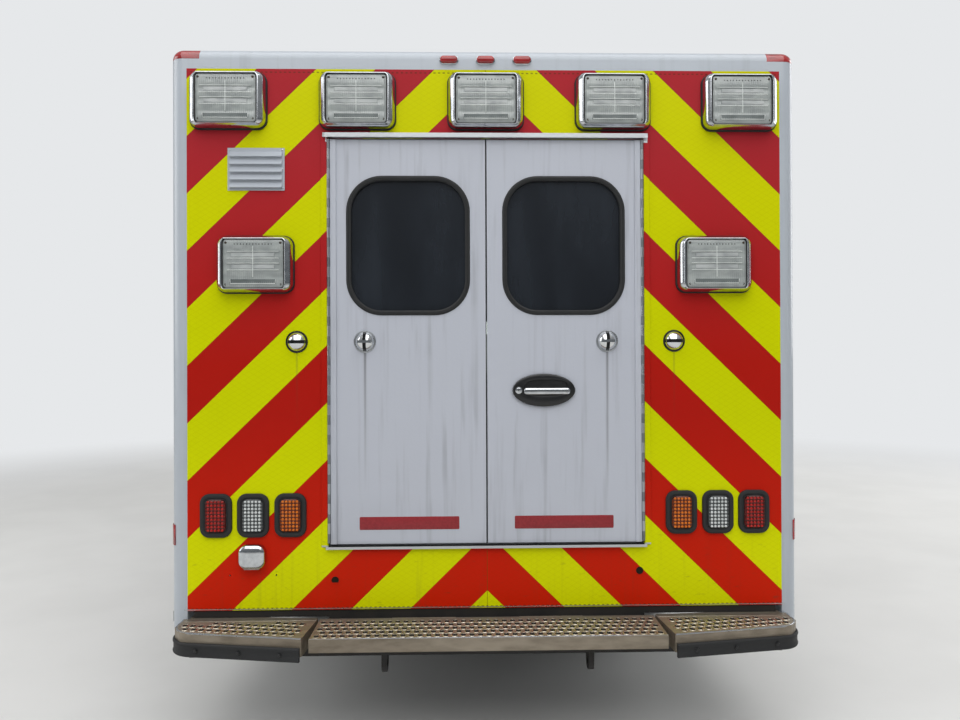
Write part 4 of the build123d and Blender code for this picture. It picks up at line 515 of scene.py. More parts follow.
# moulded lens plastic: a clear tone with a darker core, lightly worn; a board shows dark between the diodes
def lensPlastic(name, tone, core, clear=0.25, rough=0.14, gloss=0.5, board=None):
    material, add, place = newMaterial(name)
    fleck = patches(add, place, 0.05, 0.3, 0.75, stretch=(1, 1, 2), detail=1.0)
    colour = add("Mix", {0: fleck, 6: toLinear(tone), 7: toLinear(core)}, 2, data_type="RGBA")
    if board:
        y = add("SeparateXYZ", {0: place}, 1)
        depth = add("MapRange", {"Value": y, "From Min": rearY - 0.0161, "From Max": rearY - 0.0146})
        colour = add("Mix", {0: depth, 6: colour, 7: toLinear(board)}, 2, data_type="RGBA")
    worn = patches(add, place, 0.03, 0.4, 0.8, rough, rough + 0.14)
    shaded(add, {
        "Base Color": colour, "Roughness": worn, "IOR": 1.585, "Transmission Weight": clear,
        "Coat Weight": gloss * 0.6, "Specular IOR Level": gloss,
    })
    return material


clearLens = lensPlastic("fluted polycarbonate, clear", "#a9afad", "#969c9b", 0.1)
brightLens = lensPlastic("polycarbonate, lit from behind by its reflector", "#e4e8e6", "#d3d8d6", 0.0)
# the low row's lens: its dark colour is painted shade
shadeRowLens = lensPlastic("fluted polycarbonate over a painted shade row", "#727978", "#5f6665", 0.05)
lampGlass = lensPlastic("polycarbonate headlamp lens, clear", "#e8ecec", "#dfe4e4", 0.92, 0.04)
redLens = lensPlastic("polycarbonate lens, red", "#a81218", "#860c10", 0.1)
amberLens = lensPlastic("polycarbonate lens, amber", "#d06a12", "#a84e08", 0.15)
whiteLens = lensPlastic("polycarbonate lens, white", "#c3c7c7", "#a4a9a9", 0.15)
tailLens = {
    "Red": lensPlastic("polycarbonate diode lens, red", "#b3190f", "#96120a", 0.05, 0.2, 0.2, "#4c0905"),
    "Amber": lensPlastic("polycarbonate diode lens, amber", "#dc7414", "#bf5a0a", 0.05, 0.2, 0.2, "#5a2204"),
    "White": lensPlastic("polycarbonate diode lens, white", "#d5d9d9", "#bcc1c1", 0.05, 0.2, 0.3, "#3f4344"),
}
print("materials made")

# CAD nodes take their finishes
slotFinish = {
    "body_white": bodyEnamel, "frame_black": finish["frame"], "cast": finish["cast"],
    "aluminium": finish["aluminium"], "chrome": finish["chrome"], "rubber": finish["rubber"],
    "tyre": finish["tyre"], "glass": clearGlass, "wheel_steel": finish["wheel"],
    "dark_plastic": finish["plastic"], "upholstery": finish["seat"], "interior_light": finish["laminate"],
    "floor_vinyl": finish["floor"], "lens_clear": clearLens, "lamp_red": redLens,
}
nodeFinish = {
    "wall_rear": chevronSheet, "rear_door_left": shadedDoorEnamel, "rear_door_right": shadedDoorEnamel,
    "rear_glass_left": darkGlass, "rear_glass_right": darkGlass, "module_roof": shadedRoofEnamel,
    "corner_posts": shadedRoofEnamel, "fixed_steps": finish["step"], "step_middle": finish["step"],
    "locker_liners": finish["laminate"],
}
for name in ("cab_shell", "cab_door_left", "cab_door_right", "hood", "front_fenders", "nose_panel"):
    nodeFinish[name] = cabEnamel
for name, node in nodes.items():
    for index, old in enumerate(node.data.materials):
        key = old.name.split(".")[0]
        node.data.materials[index] = nodeFinish.get(name) or slotFinish[key]

# floor, backdrop, lamps and camera: the floor turns into the backdrop's colour far from the vehicle
backdrop = "#e6e8ea"
material, add, place = newMaterial("studio floor")
tone = patches(add, place, 0.8, 0.3, 0.7)
colour = add("Mix", {0: tone, 6: toLinear("#d3d3d1"), 7: toLinear("#d8d8d6")}, 2, data_type="RGBA")
lit = add("BsdfPrincipled", {"Base Color": colour, "Roughness": 0.8})
plain = add("Emission", {"Color": toLinear(backdrop)})
away = add("VectorMath", {0: place}, "Value", operation="LENGTH")
fade = add("MapRange", {"Value": away, "From Min": 4.5, "From Max": 11.0}, interpolation_type="SMOOTHSTEP")
seen = add("LightPath", out="Is Camera Ray")
share = add("Math", {0: fade, 1: seen}, operation="MULTIPLY")
add("OutputMaterial", {"Surface": add("MixShader", {0: share, 1: lit, 2: plain})})
floorMesh = bpy.data.meshes.new("studioFloor")
corners = [(-60, -60, -0.0005), (60, -60, -0.0005), (60, 60, -0.0005), (-60, 60, -0.0005)]
floorMesh.from_pydata(corners, [], [(0, 1, 2, 3)])
floorMesh.materials.append(material)
floor = bpy.data.objects.new("studioFloor", floorMesh)
scene.collection.objects.link(floor)

world = bpy.data.worlds.new("studio")
scene.world = world
world.use_nodes = True
world.node_tree.nodes.clear()
add = partial(addNode, world.node_tree)
rise = add("SeparateXYZ", {0: add("TexCoord", out="Generated")}, 2)
step = add("MapRange", {"Value": rise, "From Min": -0.1, "From Max": 0.9}, interpolation_type="SMOOTHSTEP")
sky = add("Mix", {0: step, 6: toLinear("#8b9095"), 7: toLinear("#ffffff")}, 2, data_type="RGBA")
rays = add("LightPath", out=None)
seen = add("Math", {0: rays["Is Camera Ray"], 1: rays["Is Transmission Ray"]}, operation="MAXIMUM")
lit = add("Background", {"Color": sky, "Strength": 0.5})
plain = add("Background", {"Color": toLinear(backdrop), "Strength": 1.0})
add("OutputWorld", {"Surface": add("MixShader", {0: seen, 1: lit, 2: plain})})

lamps = {  # power, size, place, aim
    "overheadBox": (560, 9.0, (0, -6.5, 7.5), (0, -3.0, 1.2)),
    "leftBox": (250, 6.0, (-9, -3, 4.5), (0, 0, 1.2)),
    "rightBox": (300, 6.0, (9, 1, 4.5), (0, 0, 1.2)),
    "frontBox": (320, 6.0, (2, 10, 5), (0, 0, 1.2)),
}
for name, (power, size, spot, aim) in lamps.items():
    data = bpy.data.lights.new(name, "AREA")
    data.energy, data.size = power, size
    lamp = bpy.data.objects.new(name, data)
    scene.collection.objects.link(lamp)
    lamp.location = spot
    line = np.array(aim, float) - spot
    tilt = math.atan2(math.hypot(line[0], line[1]), -line[2])
    lamp.rotation_euler = (tilt, 0, math.atan2(-line[0], line[1]))

# the camera stands behind the vehicle, turned a little to its right and level
view = {"place": (-0.0872, -5.9205, 1.5045), "lens": 27.04, "turn": 1.268, "rise": 0.23, "roll": -0.213}
camera = bpy.data.objects.new("photoCamera", bpy.data.cameras.new("photoCamera"))
scene.collection.objects.link(camera)
camera.data.sensor_width, camera.data.lens = 36, view["lens"]
camera.data.clip_end = 200
turn, rise, roll = (math.radians(view[k]) for k in ("turn", "rise", "roll"))
forward = np.array([math.sin(turn) * math.cos(rise), math.cos(turn) * math.cos(rise), math.sin(rise)])
across = np.array([math.cos(turn), -math.sin(turn), 0])
up = np.cross(across, forward)
matrix = np.eye(4)
matrix[:3, 0] = math.cos(roll) * across + math.sin(roll) * up
matrix[:3, 1] = -math.sin(roll) * across + math.cos(roll) * up
matrix[:3, 2] = -forward
matrix[:3, 3] = view["place"]
camera.matrix_world = Matrix(matrix.tolist())
scene.camera = camera
scene.view_settings.view_transform = "Standard"
print("stage set")

# warning lights: chrome housings that taper to a thin rim, on rubber gaskets
lightRows = [([[x, rearY, 2.516]], rearFrame) for x in (-0.990, -0.495, 0, 0.495, 0.990)]
lightRows += [([[x, rearY, 1.885]], rearFrame) for x in (-0.887, 0.887)]
lightRows += [([[x, frontY, 2.478]], frontFrame) for x in (-0.950, -0.320, 0.320, 0.950)]
for y in (-2.880, 0.800):
    for x, face in ((-sideX, leftFrame), (sideX, rightFrame)):  # the sides' lights are flatter
        lightRows.append(([[x, y, 2.478]], face * [[1], [1], [0.5]]))
origins = np.array([row[0][0] for row in lightRows])
frames = np.array([row[1] for row in lightRows], float)

housing = roundedPath(0.290, 0.216, 0.036, 9)
housingProfile = [  # outwards from the base outline, height: flange, slope, bright rim, seat of the lens
    (0.0, 0.003), (0.0, 0.0100), (-0.0012, 0.0190), (-0.0040, 0.0280), (-0.0085, 0.0355),
    (-0.0145, 0.0415), (-0.0190, 0.0450), (-0.0205, 0.0470), (-0.0235, 0.0475), (-0.0258, 0.0460),
    (-0.0265, 0.0412), (-0.0268, 0.0340), (-0.034, 0.0330), (-0.034, 0.004),
]
housings = scattered(ringSweep(housing, housingProfile, 0.52), origins, frames)
addPiece("lightHousings", housings, finish["chrome"], slot="chrome", replaced=["light_bezels"], sharp=50)
gasketProfile = [
    (0.0036, 0.0), (0.0038, 0.006), (0.0020, 0.0100), (-0.0008, 0.0104), (-0.012, 0.009), (-0.012, 0.0),
]
gaskets = scattered(ringSweep(housing, gasketProfile), origins, frames)
addPiece("lightGaskets", gaskets, finish["rubber"], slot="rubber")
sealProfile = [(-0.0262, 0.034), (-0.0262, 0.0420), (-0.0280, 0.0434), (-0.0310, 0.0425), (-0.0310, 0.034)]
seals = scattered(ringSweep(housing, sealProfile, 0.52), origins, frames)
addPiece("lightSeals", seals, finish["rubber"])

lens = {
    "width": 0.2300, "height": 0.1845, "radius": 0.016, "base": 0.034, "face": 0.0422,
    "flute": 0.0074, "roll": 0.0435, "phase": 0.094,
}


def lensHeight(a, b):
    # flutes are the sine's size along the lens; each of the rolls up it is one less a square
    w, h = lens["width"], lens["height"]
    edge = 1 - smooth(np.maximum(np.abs(a) / (w / 2), np.abs(b) / (h / 2)), 0.90, 0.99)
    flute = 0.0012 * np.abs(np.sin(a * math.pi / lens["flute"]))
    roll = 1 - (np.mod(b + lens["phase"], lens["roll"]) / lens["roll"] * 2 - 1) ** 2
    return lens["face"] + (flute + 0.0020 * roll) * edge - 0.002 * (1 - edge)


def evenField(across, up, count, height, base, radius):  # a raised grid with rounded corners
    a, b = np.linspace(-across, across, count[0]), np.linspace(-up, up, count[1])
    return heightField(a, b, height, base, (across * 2, up * 2, radius))


across, up = lens["width"] / 2, lens["height"] / 2
lensGrid = evenField(across, up, (125, 37), lensHeight, lens["base"], lens["radius"])
addPiece("lightLenses", scattered(lensGrid, origins, frames), clearLens, slot="lens_clear",
         replaced=["light_lenses"], sharp=60)


def perLight(part, spots, rise):  # a small part at the same spots (a, b) of every light, at one height
    places = [o + a * f[0] + b * f[1] + rise * f[2] for o, f in zip(origins, frames) for a, b in spots]
    turns = [f for f in frames for _ in spots]
    return scattered(part, places, turns)


# the bright bars, the dots above them and the dark row below, as they show through the lens; the bars, cores
# and troughs are painted light from the reflector, and the dark row is painted shade
bars = []
for b in (0.0460, 0.0200, 0.0010, -0.0250):
    bars.append(boxPart((-0.098, b - 0.0011, 0.0), (0.098, b + 0.0011, 0.0046), 0.0010))
bars.append(boxPart((-0.0012, -0.052, 0.0), (0.0012, 0.066, 0.0049), 0.0009))
addPiece("lightBars", perLight(joined(bars), [(0, 0)], 0.0425), brightLens, slot="lens_clear")
glow = [boxPart((-0.082, b - 0.0075, 0.0), (0.082, b + 0.0075, 0.0036), 0.0028) for b in (0.0335, -0.0115)]
addPiece("lightCores", perLight(joined(glow), [(0, 0)], 0.0425), whiteLens)
dot = turned([(0.0030, 0.0), (0.0028, 0.0012), (0.0018, 0.0020), (0, 0.0023)], 10)
dotSpots = [(a, 0.0735) for a in np.linspace(-0.070, 0.070, 13)]
addPiece("lightDots", perLight(dot, dotSpots, 0.0425), finish["plastic"])
shadeRow = boxPart((-0.088, -0.079, 0.0), (0.088, -0.059, 0.0038), 0.0020)
addPiece("lightShadeRows", perLight(shadeRow, [(0, 0)], 0.0415), shadeRowLens)
trough = [(-0.086, -0.060, 0), (-0.084, -0.0765, 0), (0.084, -0.0765, 0), (0.086, -0.060, 0)]
addPiece("lightTroughs", perLight(tube(trough, 0.0013, 6), [(0, 0)], 0.0462), brightLens)
screw = turned([
    (0.0050, 0.0), (0.0052, 0.0014), (0.0040, 0.0030), (0.0017, 0.0035), (0.0014, 0.0020), (0, 0.0020),
], 12)
corners = [(a, b) for a in (-0.103, 0.103) for b in (-0.079, 0.079)]
addPiece("lightScrews", perLight(screw, corners, 0.0415), finish["cast"], slot="chrome")
print("warning lights")

# tail lamps in rubber grommets: LED lenses with a dome over each diode
tailLamp = {"z": 0.921, "x": {"Amber": 0.757, "White": 0.900, "Red": 1.0415}, "pitch": 0.0136}
tailSpots = [(sign * x, tailLamp["z"]) for sign in (-1, 1) for x in tailLamp["x"].values()]
grommetProfile = [
    (0.001, 0.0), (0.0015, 0.005), (-0.001, 0.0095), (-0.007, 0.0115), (-0.013, 0.0105), (-0.0175, 0.007),
    (-0.0195, 0.0095), (-0.0215, 0.0095), (-0.022, 0.0),
]
grommet = ringSweep(roundedPath(0.120, 0.166, 0.036, 9), grommetProfile)
addRear("tailGrommets", grommet, tailSpots, finish["rubber"], slot="rubber")


def diodeHeight(a, b):  # a dome over each diode: one less the squared distance to the nearest one
    pitch = tailLamp["pitch"]
    u, v = (np.mod(value + pitch / 2, pitch) / pitch - 0.5 for value in (a, b))
    ball = np.clip(1 - (u * u + v * v) / 0.17, 0, 1)
    edge = 1 - smooth(np.maximum(np.abs(a) / 0.0395, np.abs(b) / 0.0625), 0.93, 1.0)
    return 0.0142 + 0.0026 * np.sqrt(ball) * edge - 0.004 * (1 - edge)


tailGrid = evenField(0.0395, 0.0625, (47, 75), diodeHeight, 0.004, 0.021)
for name, x in tailLamp["x"].items():
    spots = [(-x, tailLamp["z"]), (x, tailLamp["z"])]
    addRear(f"tailLenses{name}", tailGrid, spots, tailLens[name], slot="lamp_red", sharp=50)

# roof markers: a chrome foot with a red lens, and the licence lamp's hood with its window below
markerSpots = [(x, 2.680) for x in (-0.142, 0, 0.142)]
foot = lofted(roundedPath(0.074, 0.034, 0.0165, 8), [(0, 0), (0, 0.003), (-0.002, 0.0045), (-0.004, 0.0048)])
addRear("markerFeet", foot, markerSpots, finish["chrome"], slot="chrome")
markerLens = lofted(roundedPath(0.068, 0.0275, 0.0135, 8), [
    (0, 0.004), (0, 0.011), (-0.002, 0.0145), (-0.006, 0.0165), (-0.011, 0.0172),
])
addRear("markerLenses", markerLens, markerSpots, redLens, slot="lamp_red")
hood = lofted(roundedPath(0.101, 0.093, 0.031, 9), [
    (0, 0), (0.0004, 0.022), (-0.004, 0.0285), (-0.014, 0.0325), (-0.030, 0.034),
])
licenceSpot = [(-0.901, 0.765)]
addRear("licenceLamp", hood, licenceSpot, finish["chrome"], slot="chrome")
window = boxPart((-0.030, -0.0478, 0.006), (0.030, -0.040, 0.026), 0.003)
addRear("licenceWindow", window, licenceSpot, whiteLens)

# the paddle handle: a black dished oval, a chrome paddle across it and a lock cylinder
turn = np.linspace(0, 2 * math.pi, 64, endpoint=False)
oval = np.stack([0.1232 * np.cos(turn), 0.0638 * np.sin(turn)], 1)
# the dish is a squarer oval: the cosine's and the sine's sizes to a power below one, signs kept
dish = np.stack([np.cos(turn), np.sin(turn)], 1)
dish = np.sign(dish) * np.abs(dish) ** 0.55
dish = dish * [0.083, 0.031] + [0.010, 0.010]
levels = [  # outline, height: the oval's wall, its crown, the dish's lip and its floor
    (oval * 0, 0.0), (oval, 0.0), (oval, 0.0065), (oval * 0.985, 0.0092), (oval * 0.95, 0.0108),
    (dish * 1.06 - [0.0006, 0.0006], 0.0118), (dish, 0.0108), (dish * [0.97, 0.9] + [0, 0.001], 0.0052),
    (dish * 0 + [0.01, 0.01], 0.0052),
]
grid = np.stack([np.column_stack([row, np.full(len(row), rise)]) for row, rise in levels])
handleSpot = [(0.222, 1.398)]
plate = surface(grid, False, True)
addRear("handlePlate", plate, handleSpot, finish["black"], "rear_door_right", "dark_plastic")
paddle = lofted(roundedPath(0.178, 0.025, 0.010, 8), [
    (0, 0.006), (0, 0.0135), (-0.0025, 0.0165), (-0.0070, 0.0178),
])
lock = turned([
    (0.0135, 0.009), (0.0135, 0.0118), (0.0100, 0.0125), (0.0096, 0.0140), (0.0080, 0.0148), (0, 0.0148),
], 24)
metal = joined([shifted(paddle, [0.012, -0.004, 0]), shifted(lock, [-0.098, 0, 0])])
addRear("handlePaddle", metal, handleSpot, finish["chrome"], "rear_door_right", "chrome")
# the lock's keyway: a thin black box, painted shade where the slot is
keywayShade = boxPart((-0.0990, -0.0045, 0.0140), (-0.0970, 0.0045, 0.01495), 0.0003)
addRear("handleKeywayShade", keywayShade, handleSpot, finish["black"], "rear_door_right")

# window gaskets: an extruded rubber section with a locking strip round each pane
gasket = [
    (-0.006, -0.013), (-0.006, 0.0025), (-0.003, 0.0050), (0.001, 0.0058), (0.0025, 0.0045),
    (0.004, 0.0058), (0.009, 0.0050), (0.0125, 0.0020), (0.013, 0.0003), (0.001, -0.0005),
]
ring = ringSweep(roundedPath(0.453, 0.515, 0.125, 14), gasket)
for side, sign in (("left", -1), ("right", 1)):
    spot = [(sign * 0.302, 1.960)]
    addRear(f"rearGasket_{side}", ring, spot, finish["rubber"], f"rear_door_{side}", "rubber")
entryRing = ringSweep(roundedPath(0.410, 0.560, 0.090, 12), gasket)
entryRing = scattered(entryRing, [[sideX, 0.075, 1.780]], rightFrame)
addPiece("entryGasket", entryRing, finish["rubber"], "entry_door", "rubber")
fixedRings = [
    scattered(ringSweep(roundedPath(0.600, 0.400, 0.080, 12), gasket), [[-sideX, -1.400, 1.760]], leftFrame),
    scattered(ringSweep(roundedPath(0.800, 0.400, 0.080, 12), gasket), [[sideX, -1.350, 1.760]], rightFrame),
]
addPiece("fixedGaskets", joined(fixedRings), finish["rubber"], slot="rubber")

# hold-open cups: a foot ring round each dome
cup = {
    "wall": [(-0.732, 1.588), (0.732, 1.588)], "doorX": 0.470, "z": 1.588, "radius": 0.038,
    "height": 0.028, "half": 0.0064, "floor": 0.0122,
}
cupFoot = ringSweep(roundedPath(0.080, 0.080, 0.0395, 8), [
    (0, 0), (0.003, 0.0012), (0.002, 0.003), (-0.003, 0.0042), (-0.006, 0.003),
])
addRear("cupFeetWall", cupFoot, cup["wall"], finish["black"])
for side, sign in (("left", -1), ("right", 1)):
    spot = [(sign * cup["doorX"], cup["z"])]
    addRear(f"cupFoot_{side}", cupFoot, spot, finish["trim"], f"rear_door_{side}")

# the trim below the panel, and screws in the vent
rivet = turned([(0.0042, 0.0), (0.0040, 0.0012), (0.0026, 0.0022), (0, 0.0025)], 8)
foot = boxPart((-1.166, 0.5585, 0), (1.166, 0.5615, 0.0008), 0.0003)
addPiece("panelFoot", scattered(foot, [[0, rearY, 0]], rearFrame), finish["trim"])
ventScrews = [(-0.8856 + a, 2.254 + b) for a in (-0.101, 0.101) for b in (-0.074, 0.0, 0.074)]
addRear("ventScrews", rivet, ventScrews, finish["trim"], out=0.0028)
# two plain bars of reflective tape on the rear doors, one on each
tape = lofted(roundedPath(0.385, 0.050, 0.004, 4), [(0, 0), (0, 0.0003), (-0.0005, 0.0005)])
for side, x in (("left", -0.300), ("right", 0.300)):
    addRear(f"tapeBar_{side}", tape, [(x, 0.886)], finish["redTape"], f"rear_door_{side}", out=0.0001)
print("rear face")


# rear door edges: continuous hinge leaves over the knuckles' flanges, and a rubber seal in the middle gap
rearSpot = [[0, rearY, 0]]
hinge = {"pinX": 0.6085, "pinOut": 0.006, "low": 0.812, "pitch": 0.038, "knuckles": 41}
wallLeaves = mirrored(boxPart((0.6146, 0.797, 0), (0.6375, 2.380, 0.0048), 0.0006))
addPiece("hingeLeavesWall", scattered(wallLeaves, rearSpot, rearFrame), chevronSheet, slot="body_white")
knuckle = turned([
    (0, 0.0005), (0.0052, 0.0005), (0.0060, 0.0014), (0.0060, 0.0366), (0.0052, 0.0375), (0, 0.0375),
], 14)
heights = hinge["low"] + hinge["pitch"] * np.arange(hinge["knuckles"])
pinY = rearY - hinge["pinOut"]
pins = {s: np.array([[s * hinge["pinX"], pinY, z] for z in heights]) for s in (-1, 1)}
wallPins = np.vstack([pins[-1][::2], pins[1][::2]])
addPiece("hingeKnucklesWall", scattered(knuckle, wallPins, upFrame), finish["aluminium"], slot="aluminium")
for side, sign in (("left", -1), ("right", 1)):
    doorLeaf = boxPart((0.5795, 0.807, 0), (0.6022, 2.370, 0.0048), 0.0006)
    flipped = doorLeaf if sign > 0 else (doorLeaf[0] * [-1, 1, 1], doorLeaf[1][:, ::-1])
    addPiece(f"hingeLeaf_{side}", scattered(flipped, rearSpot, rearFrame), shadedDoorEnamel, f"rear_door_{side}")
    addPiece(f"hingeKnuckles_{side}", scattered(knuckle, pins[sign][1::2], upFrame), finish["trim"],
             f"rear_door_{side}", "aluminium")
seal = boxPart((-0.0034, 0.803, -0.026), (0.0010, 2.374, -0.0035), 0.0015)
addPiece("middleSeal", scattered(seal, rearSpot, rearFrame), finish["rubber"], "rear_door_left", "rubber")

# lamps of the posts: the roof's red corners as the solid has them, and reflectors bent round the posts below
def ownTriangles(name, wanted):  # the triangles of a node's solid whose middles pass the test
    mesh = nodes[name].data
    mesh.calc_loop_triangles()
    points = np.empty(len(mesh.vertices) * 3)
    mesh.vertices.foreach_get("co", points)
    corners = np.empty(len(mesh.loop_triangles) * 3, int)
    mesh.loop_triangles.foreach_get("vertices", corners)
    points, corners = points.reshape(-1, 3), corners.reshape(-1, 3)
    return points, corners[wanted(points[corners].mean(1))]


corners = ownTriangles("small_lamps", lambda p: (p[:, 2] > 2.6) & (np.abs(p[:, 0]) > 1.1))
addPiece("cornerLamps", corners, redLens, slot="lamp_red", replaced=["small_lamps"])
tailBase = lofted(roundedPath(0.110, 0.156, 0.031, 9), [(0, -0.0005), (0, 0.004), (-0.001, 0.0045)])
addRear("tailBases", tailBase, tailSpots, finish["black"], slot="dark_plastic")
post = {"radius": 0.050, "low": 0.806, "high": 0.884, "thick": 0.0042}
turn = np.radians(np.linspace(-4, 50, 12))
outward = np.stack([np.cos(turn), -np.sin(turn)], 1)
rim = np.vstack([outward * (post["radius"] + post["thick"]), outward[::-1] * (post["radius"] - 0.001)])
rim += [sideX - post["radius"], rearY + post["radius"]]
low, high = post["low"], post["high"]
levels = [(-0.0008, low), (0, low + 0.002), (0, high - 0.002), (-0.0008, high)]
reflector = lofted((rim, np.vstack([outward, -outward[::-1]])), levels)
addPiece("sideReflectors", mirrored(reflector), redLens, slot="lamp_red")

# the dark floors of the slots in the hold-open cups, painted shade: black strips that keep below the ball's
# surface
ball = (cup["radius"] ** 2 + cup["height"] ** 2) / (2 * cup["height"])
slotLine = np.linspace(-0.0375, 0.0375, 23)
slotRise = np.minimum(np.sqrt(ball ** 2 - slotLine ** 2) - ball + cup["height"] + 0.0006, cup["floor"])
slotGrid = np.stack([
    np.stack([slotLine, 0 * slotLine + b, slotRise * d], 1)
    for b, d in ((-cup["half"], 0.0), (-cup["half"], 1.0), (cup["half"], 1.0), (cup["half"], 0.0))
], 1)
ends = [np.broadcast_to(slotGrid[k].mean(0), (1, 4, 3)) for k in (0, -1)]
slot = surface(np.concatenate([ends[0], slotGrid, ends[1]]), False, True)
addRear("cupShadeSlotsWall", slot, cup["wall"], finish["black"])
upright = rearFrame[[1, 0, 2]] * [[1], [-1], [1]]
for side, sign in (("left", -1), ("right", 1)):
    spot = onRear([(sign * cup["doorX"], cup["z"])])
    addPiece(f"cupShadeSlot_{side}", scattered(slot, spot, upright), finish["black"], f"rear_door_{side}")
print("rear doors and posts")


def swept(points, across, profile):  # a section (out, up) along an open level line, with closed ends
    profile = np.asarray(profile, float)
    flat = points[:, None, :2] + across[:, None, :] * profile[None, :, :1]
    rise = points[:, None, 2:] + np.broadcast_to(profile[None, :, 1:], flat.shape[:2] + (1,))
    grid = np.concatenate([flat, rise], 2)
    ends = [np.broadcast_to(grid[k].mean(0), (1,) + grid.shape[1:]) for k in (0, -1)]
    return surface(np.concatenate([ends[0], grid, ends[1]]), False, True)


def sideways(points):  # level directions to the right of a line's course
    ahead = np.gradient(points[:, :2], axis=0)
    ahead /= np.linalg.norm(ahead, axis=1)[:, None]
    return np.stack([ahead[:, 1], -ahead[:, 0]], 1)


# the step: a raised rim round each drain hole, in staggered rows; the holes hold painted shade over caked
# dirt, and the bright edges are worn metal with a painted highlight
treads = {
    "top": 0.526, "pitch": 0.0310, "rows": 0.0345, "half": 0.622, "back": -3.3235,
    "endBack": -3.3060, "endX": 0.67, "slope": 0.154,
}
tooth = ringSweep(roundedPath(0.0210, 0.0270, 0.0100, 5), [
    (0.0024, -0.0004), (0.0014, 0.0012), (0.0002, 0.0021), (-0.0007, 0.0021), (-0.0014, 0.0014),
    (-0.0018, -0.0004),
])
hole = lofted(roundedPath(0.0178, 0.0240, 0.0085, 5), [
    (0, 0), (0.0002, 0.0017), (-0.0006, 0.0017), (-0.0009, 0.0004),
])
middleSpots, endSpots = [], []
for row in range(5):
    shift = treads["pitch"] / 2 * (row % 2)
    for x in np.arange(-20, 20.5) * treads["pitch"] + shift:
        if abs(x) < treads["half"]:
            middleSpots.append([x, treads["back"] + row * treads["rows"], treads["top"]])
    for x in np.arange(22, 37) * treads["pitch"] + shift:
        y = treads["endBack"] + treads["slope"] * (x - treads["endX"]) + row * treads["rows"]
        # kept clear of the wall, of the end's slanted corner and of its inner and outer edges
        inside = y < -3.181 and y > -3.262 + (x - 1.098) * 1.15
        if inside and 0.695 - (y + 3.33) * 0.1 < x < 1.142:
            endSpots.append([x, y, treads["top"]])
slant = math.atan(treads["slope"])
slantCos, slantSin = math.cos(slant), math.sin(slant)
slantFrame = np.array([[slantCos, slantSin, 0], [-slantSin, slantCos, 0], [0, 0, 1]])
addPiece("stepTeeth", scattered(tooth, middleSpots, upFrame), finish["edge"], "step", "aluminium")
# the near-black solids in the holes are painted shade over caked dirt
addPiece("stepHoles", scattered(hole, middleSpots, upFrame), finish["caked"], "step")
addPiece("stepEndTeeth", mirrored(scattered(tooth, endSpots, slantFrame)), finish["edge"], slot="aluminium")
addPiece("stepEndHoles", mirrored(scattered(hole, endSpots, slantFrame)), finish["caked"])
# bright rods along the step's front edges and round its ends: painted highlight lines
edgeHighlightBar = tube([(-0.641, -3.3450, 0.5240), (0.641, -3.3450, 0.5240)], 0.0040, 8)
lipHighlightBar = tube([(-0.641, -3.3465, 0.4798), (0.641, -3.3465, 0.4798)], 0.0022, 8)
addPiece("stepEdgeHighlights", joined([edgeHighlightBar, lipHighlightBar]), finish["trim"], "step")
corners = [
    (0.672, -3.3345, 0.5240), (1.123, -3.2650, 0.5240), (1.163, -3.2155, 0.5240), (1.163, -3.1400, 0.5240),
]
endHighlightLine = bent(corners, 0.03)
addPiece("stepEndEdgeHighlights", mirrored(tube(endHighlightLine, 0.0034, 8)), finish["trim"])
backBand = boxPart((0.654, -3.1600, treads["top"] - 0.001), (1.150, -3.1325, treads["top"] + 0.0015), 0.0006)
addPiece("stepEndBands", mirrored(backBand), finish["edge"])

# rubber bumpers round the step's ends, held by three bolts a side
corners = [(0.676, -3.3370, 0), (1.124, -3.2675, 0), (1.1648, -3.2160, 0), (1.1648, -3.1460, 0)]
line = bent(corners, 0.035, 9)
fine = np.vstack([line[:1] + (line[1:2] - line[:1]) * t for t in np.linspace(0, 0.98, 24)] + [line[1:]])
bumperProfile = [
    (-0.0010, 0.4430), (0.0085, 0.4422), (0.0112, 0.4445), (0.0120, 0.4490), (0.0092, 0.4570),
    (0.0092, 0.4760), (0.0120, 0.4840), (0.0112, 0.4890), (0.0085, 0.4916), (-0.0010, 0.4910),
]
bumper = mirrored(swept(fine, sideways(fine), bumperProfile))
addPiece("stepBumpers", bumper, finish["rubber"], slot="rubber", replaced=["step_rubbers"])
bolt = turned([
    (0.0100, 0.0), (0.0085, 0.0022), (0.0062, 0.0026), (0.0060, 0.0062), (0.0050, 0.0070), (0, 0.0070),
], 6)
boltSpots, boltFrames = [], []
for share in (0.16, 0.50, 0.86):
    spot = np.array(corners[0]) * (1 - share) + np.array(corners[1]) * share
    spot[1] -= 0.0090
    boltSpots.append(spot + [0, 0, 0.4665])
    boltFrames.append([[slantCos, slantSin, 0], [0, 0, 1], [slantSin, -slantCos, 0]])
addPiece("bumperBolts", mirrored(scattered(bolt, boltSpots, boltFrames)), finish["black"])
print("step")

# wheels: tyres with four grooves, shoulder blocks and sipes; stainless covers with hand holes and nuts
tyre = {"crown": 0.3717, "pitches": 54, "grooves": (0.0610, 0.0205), "depth": 0.0095, "axle": 0.372}


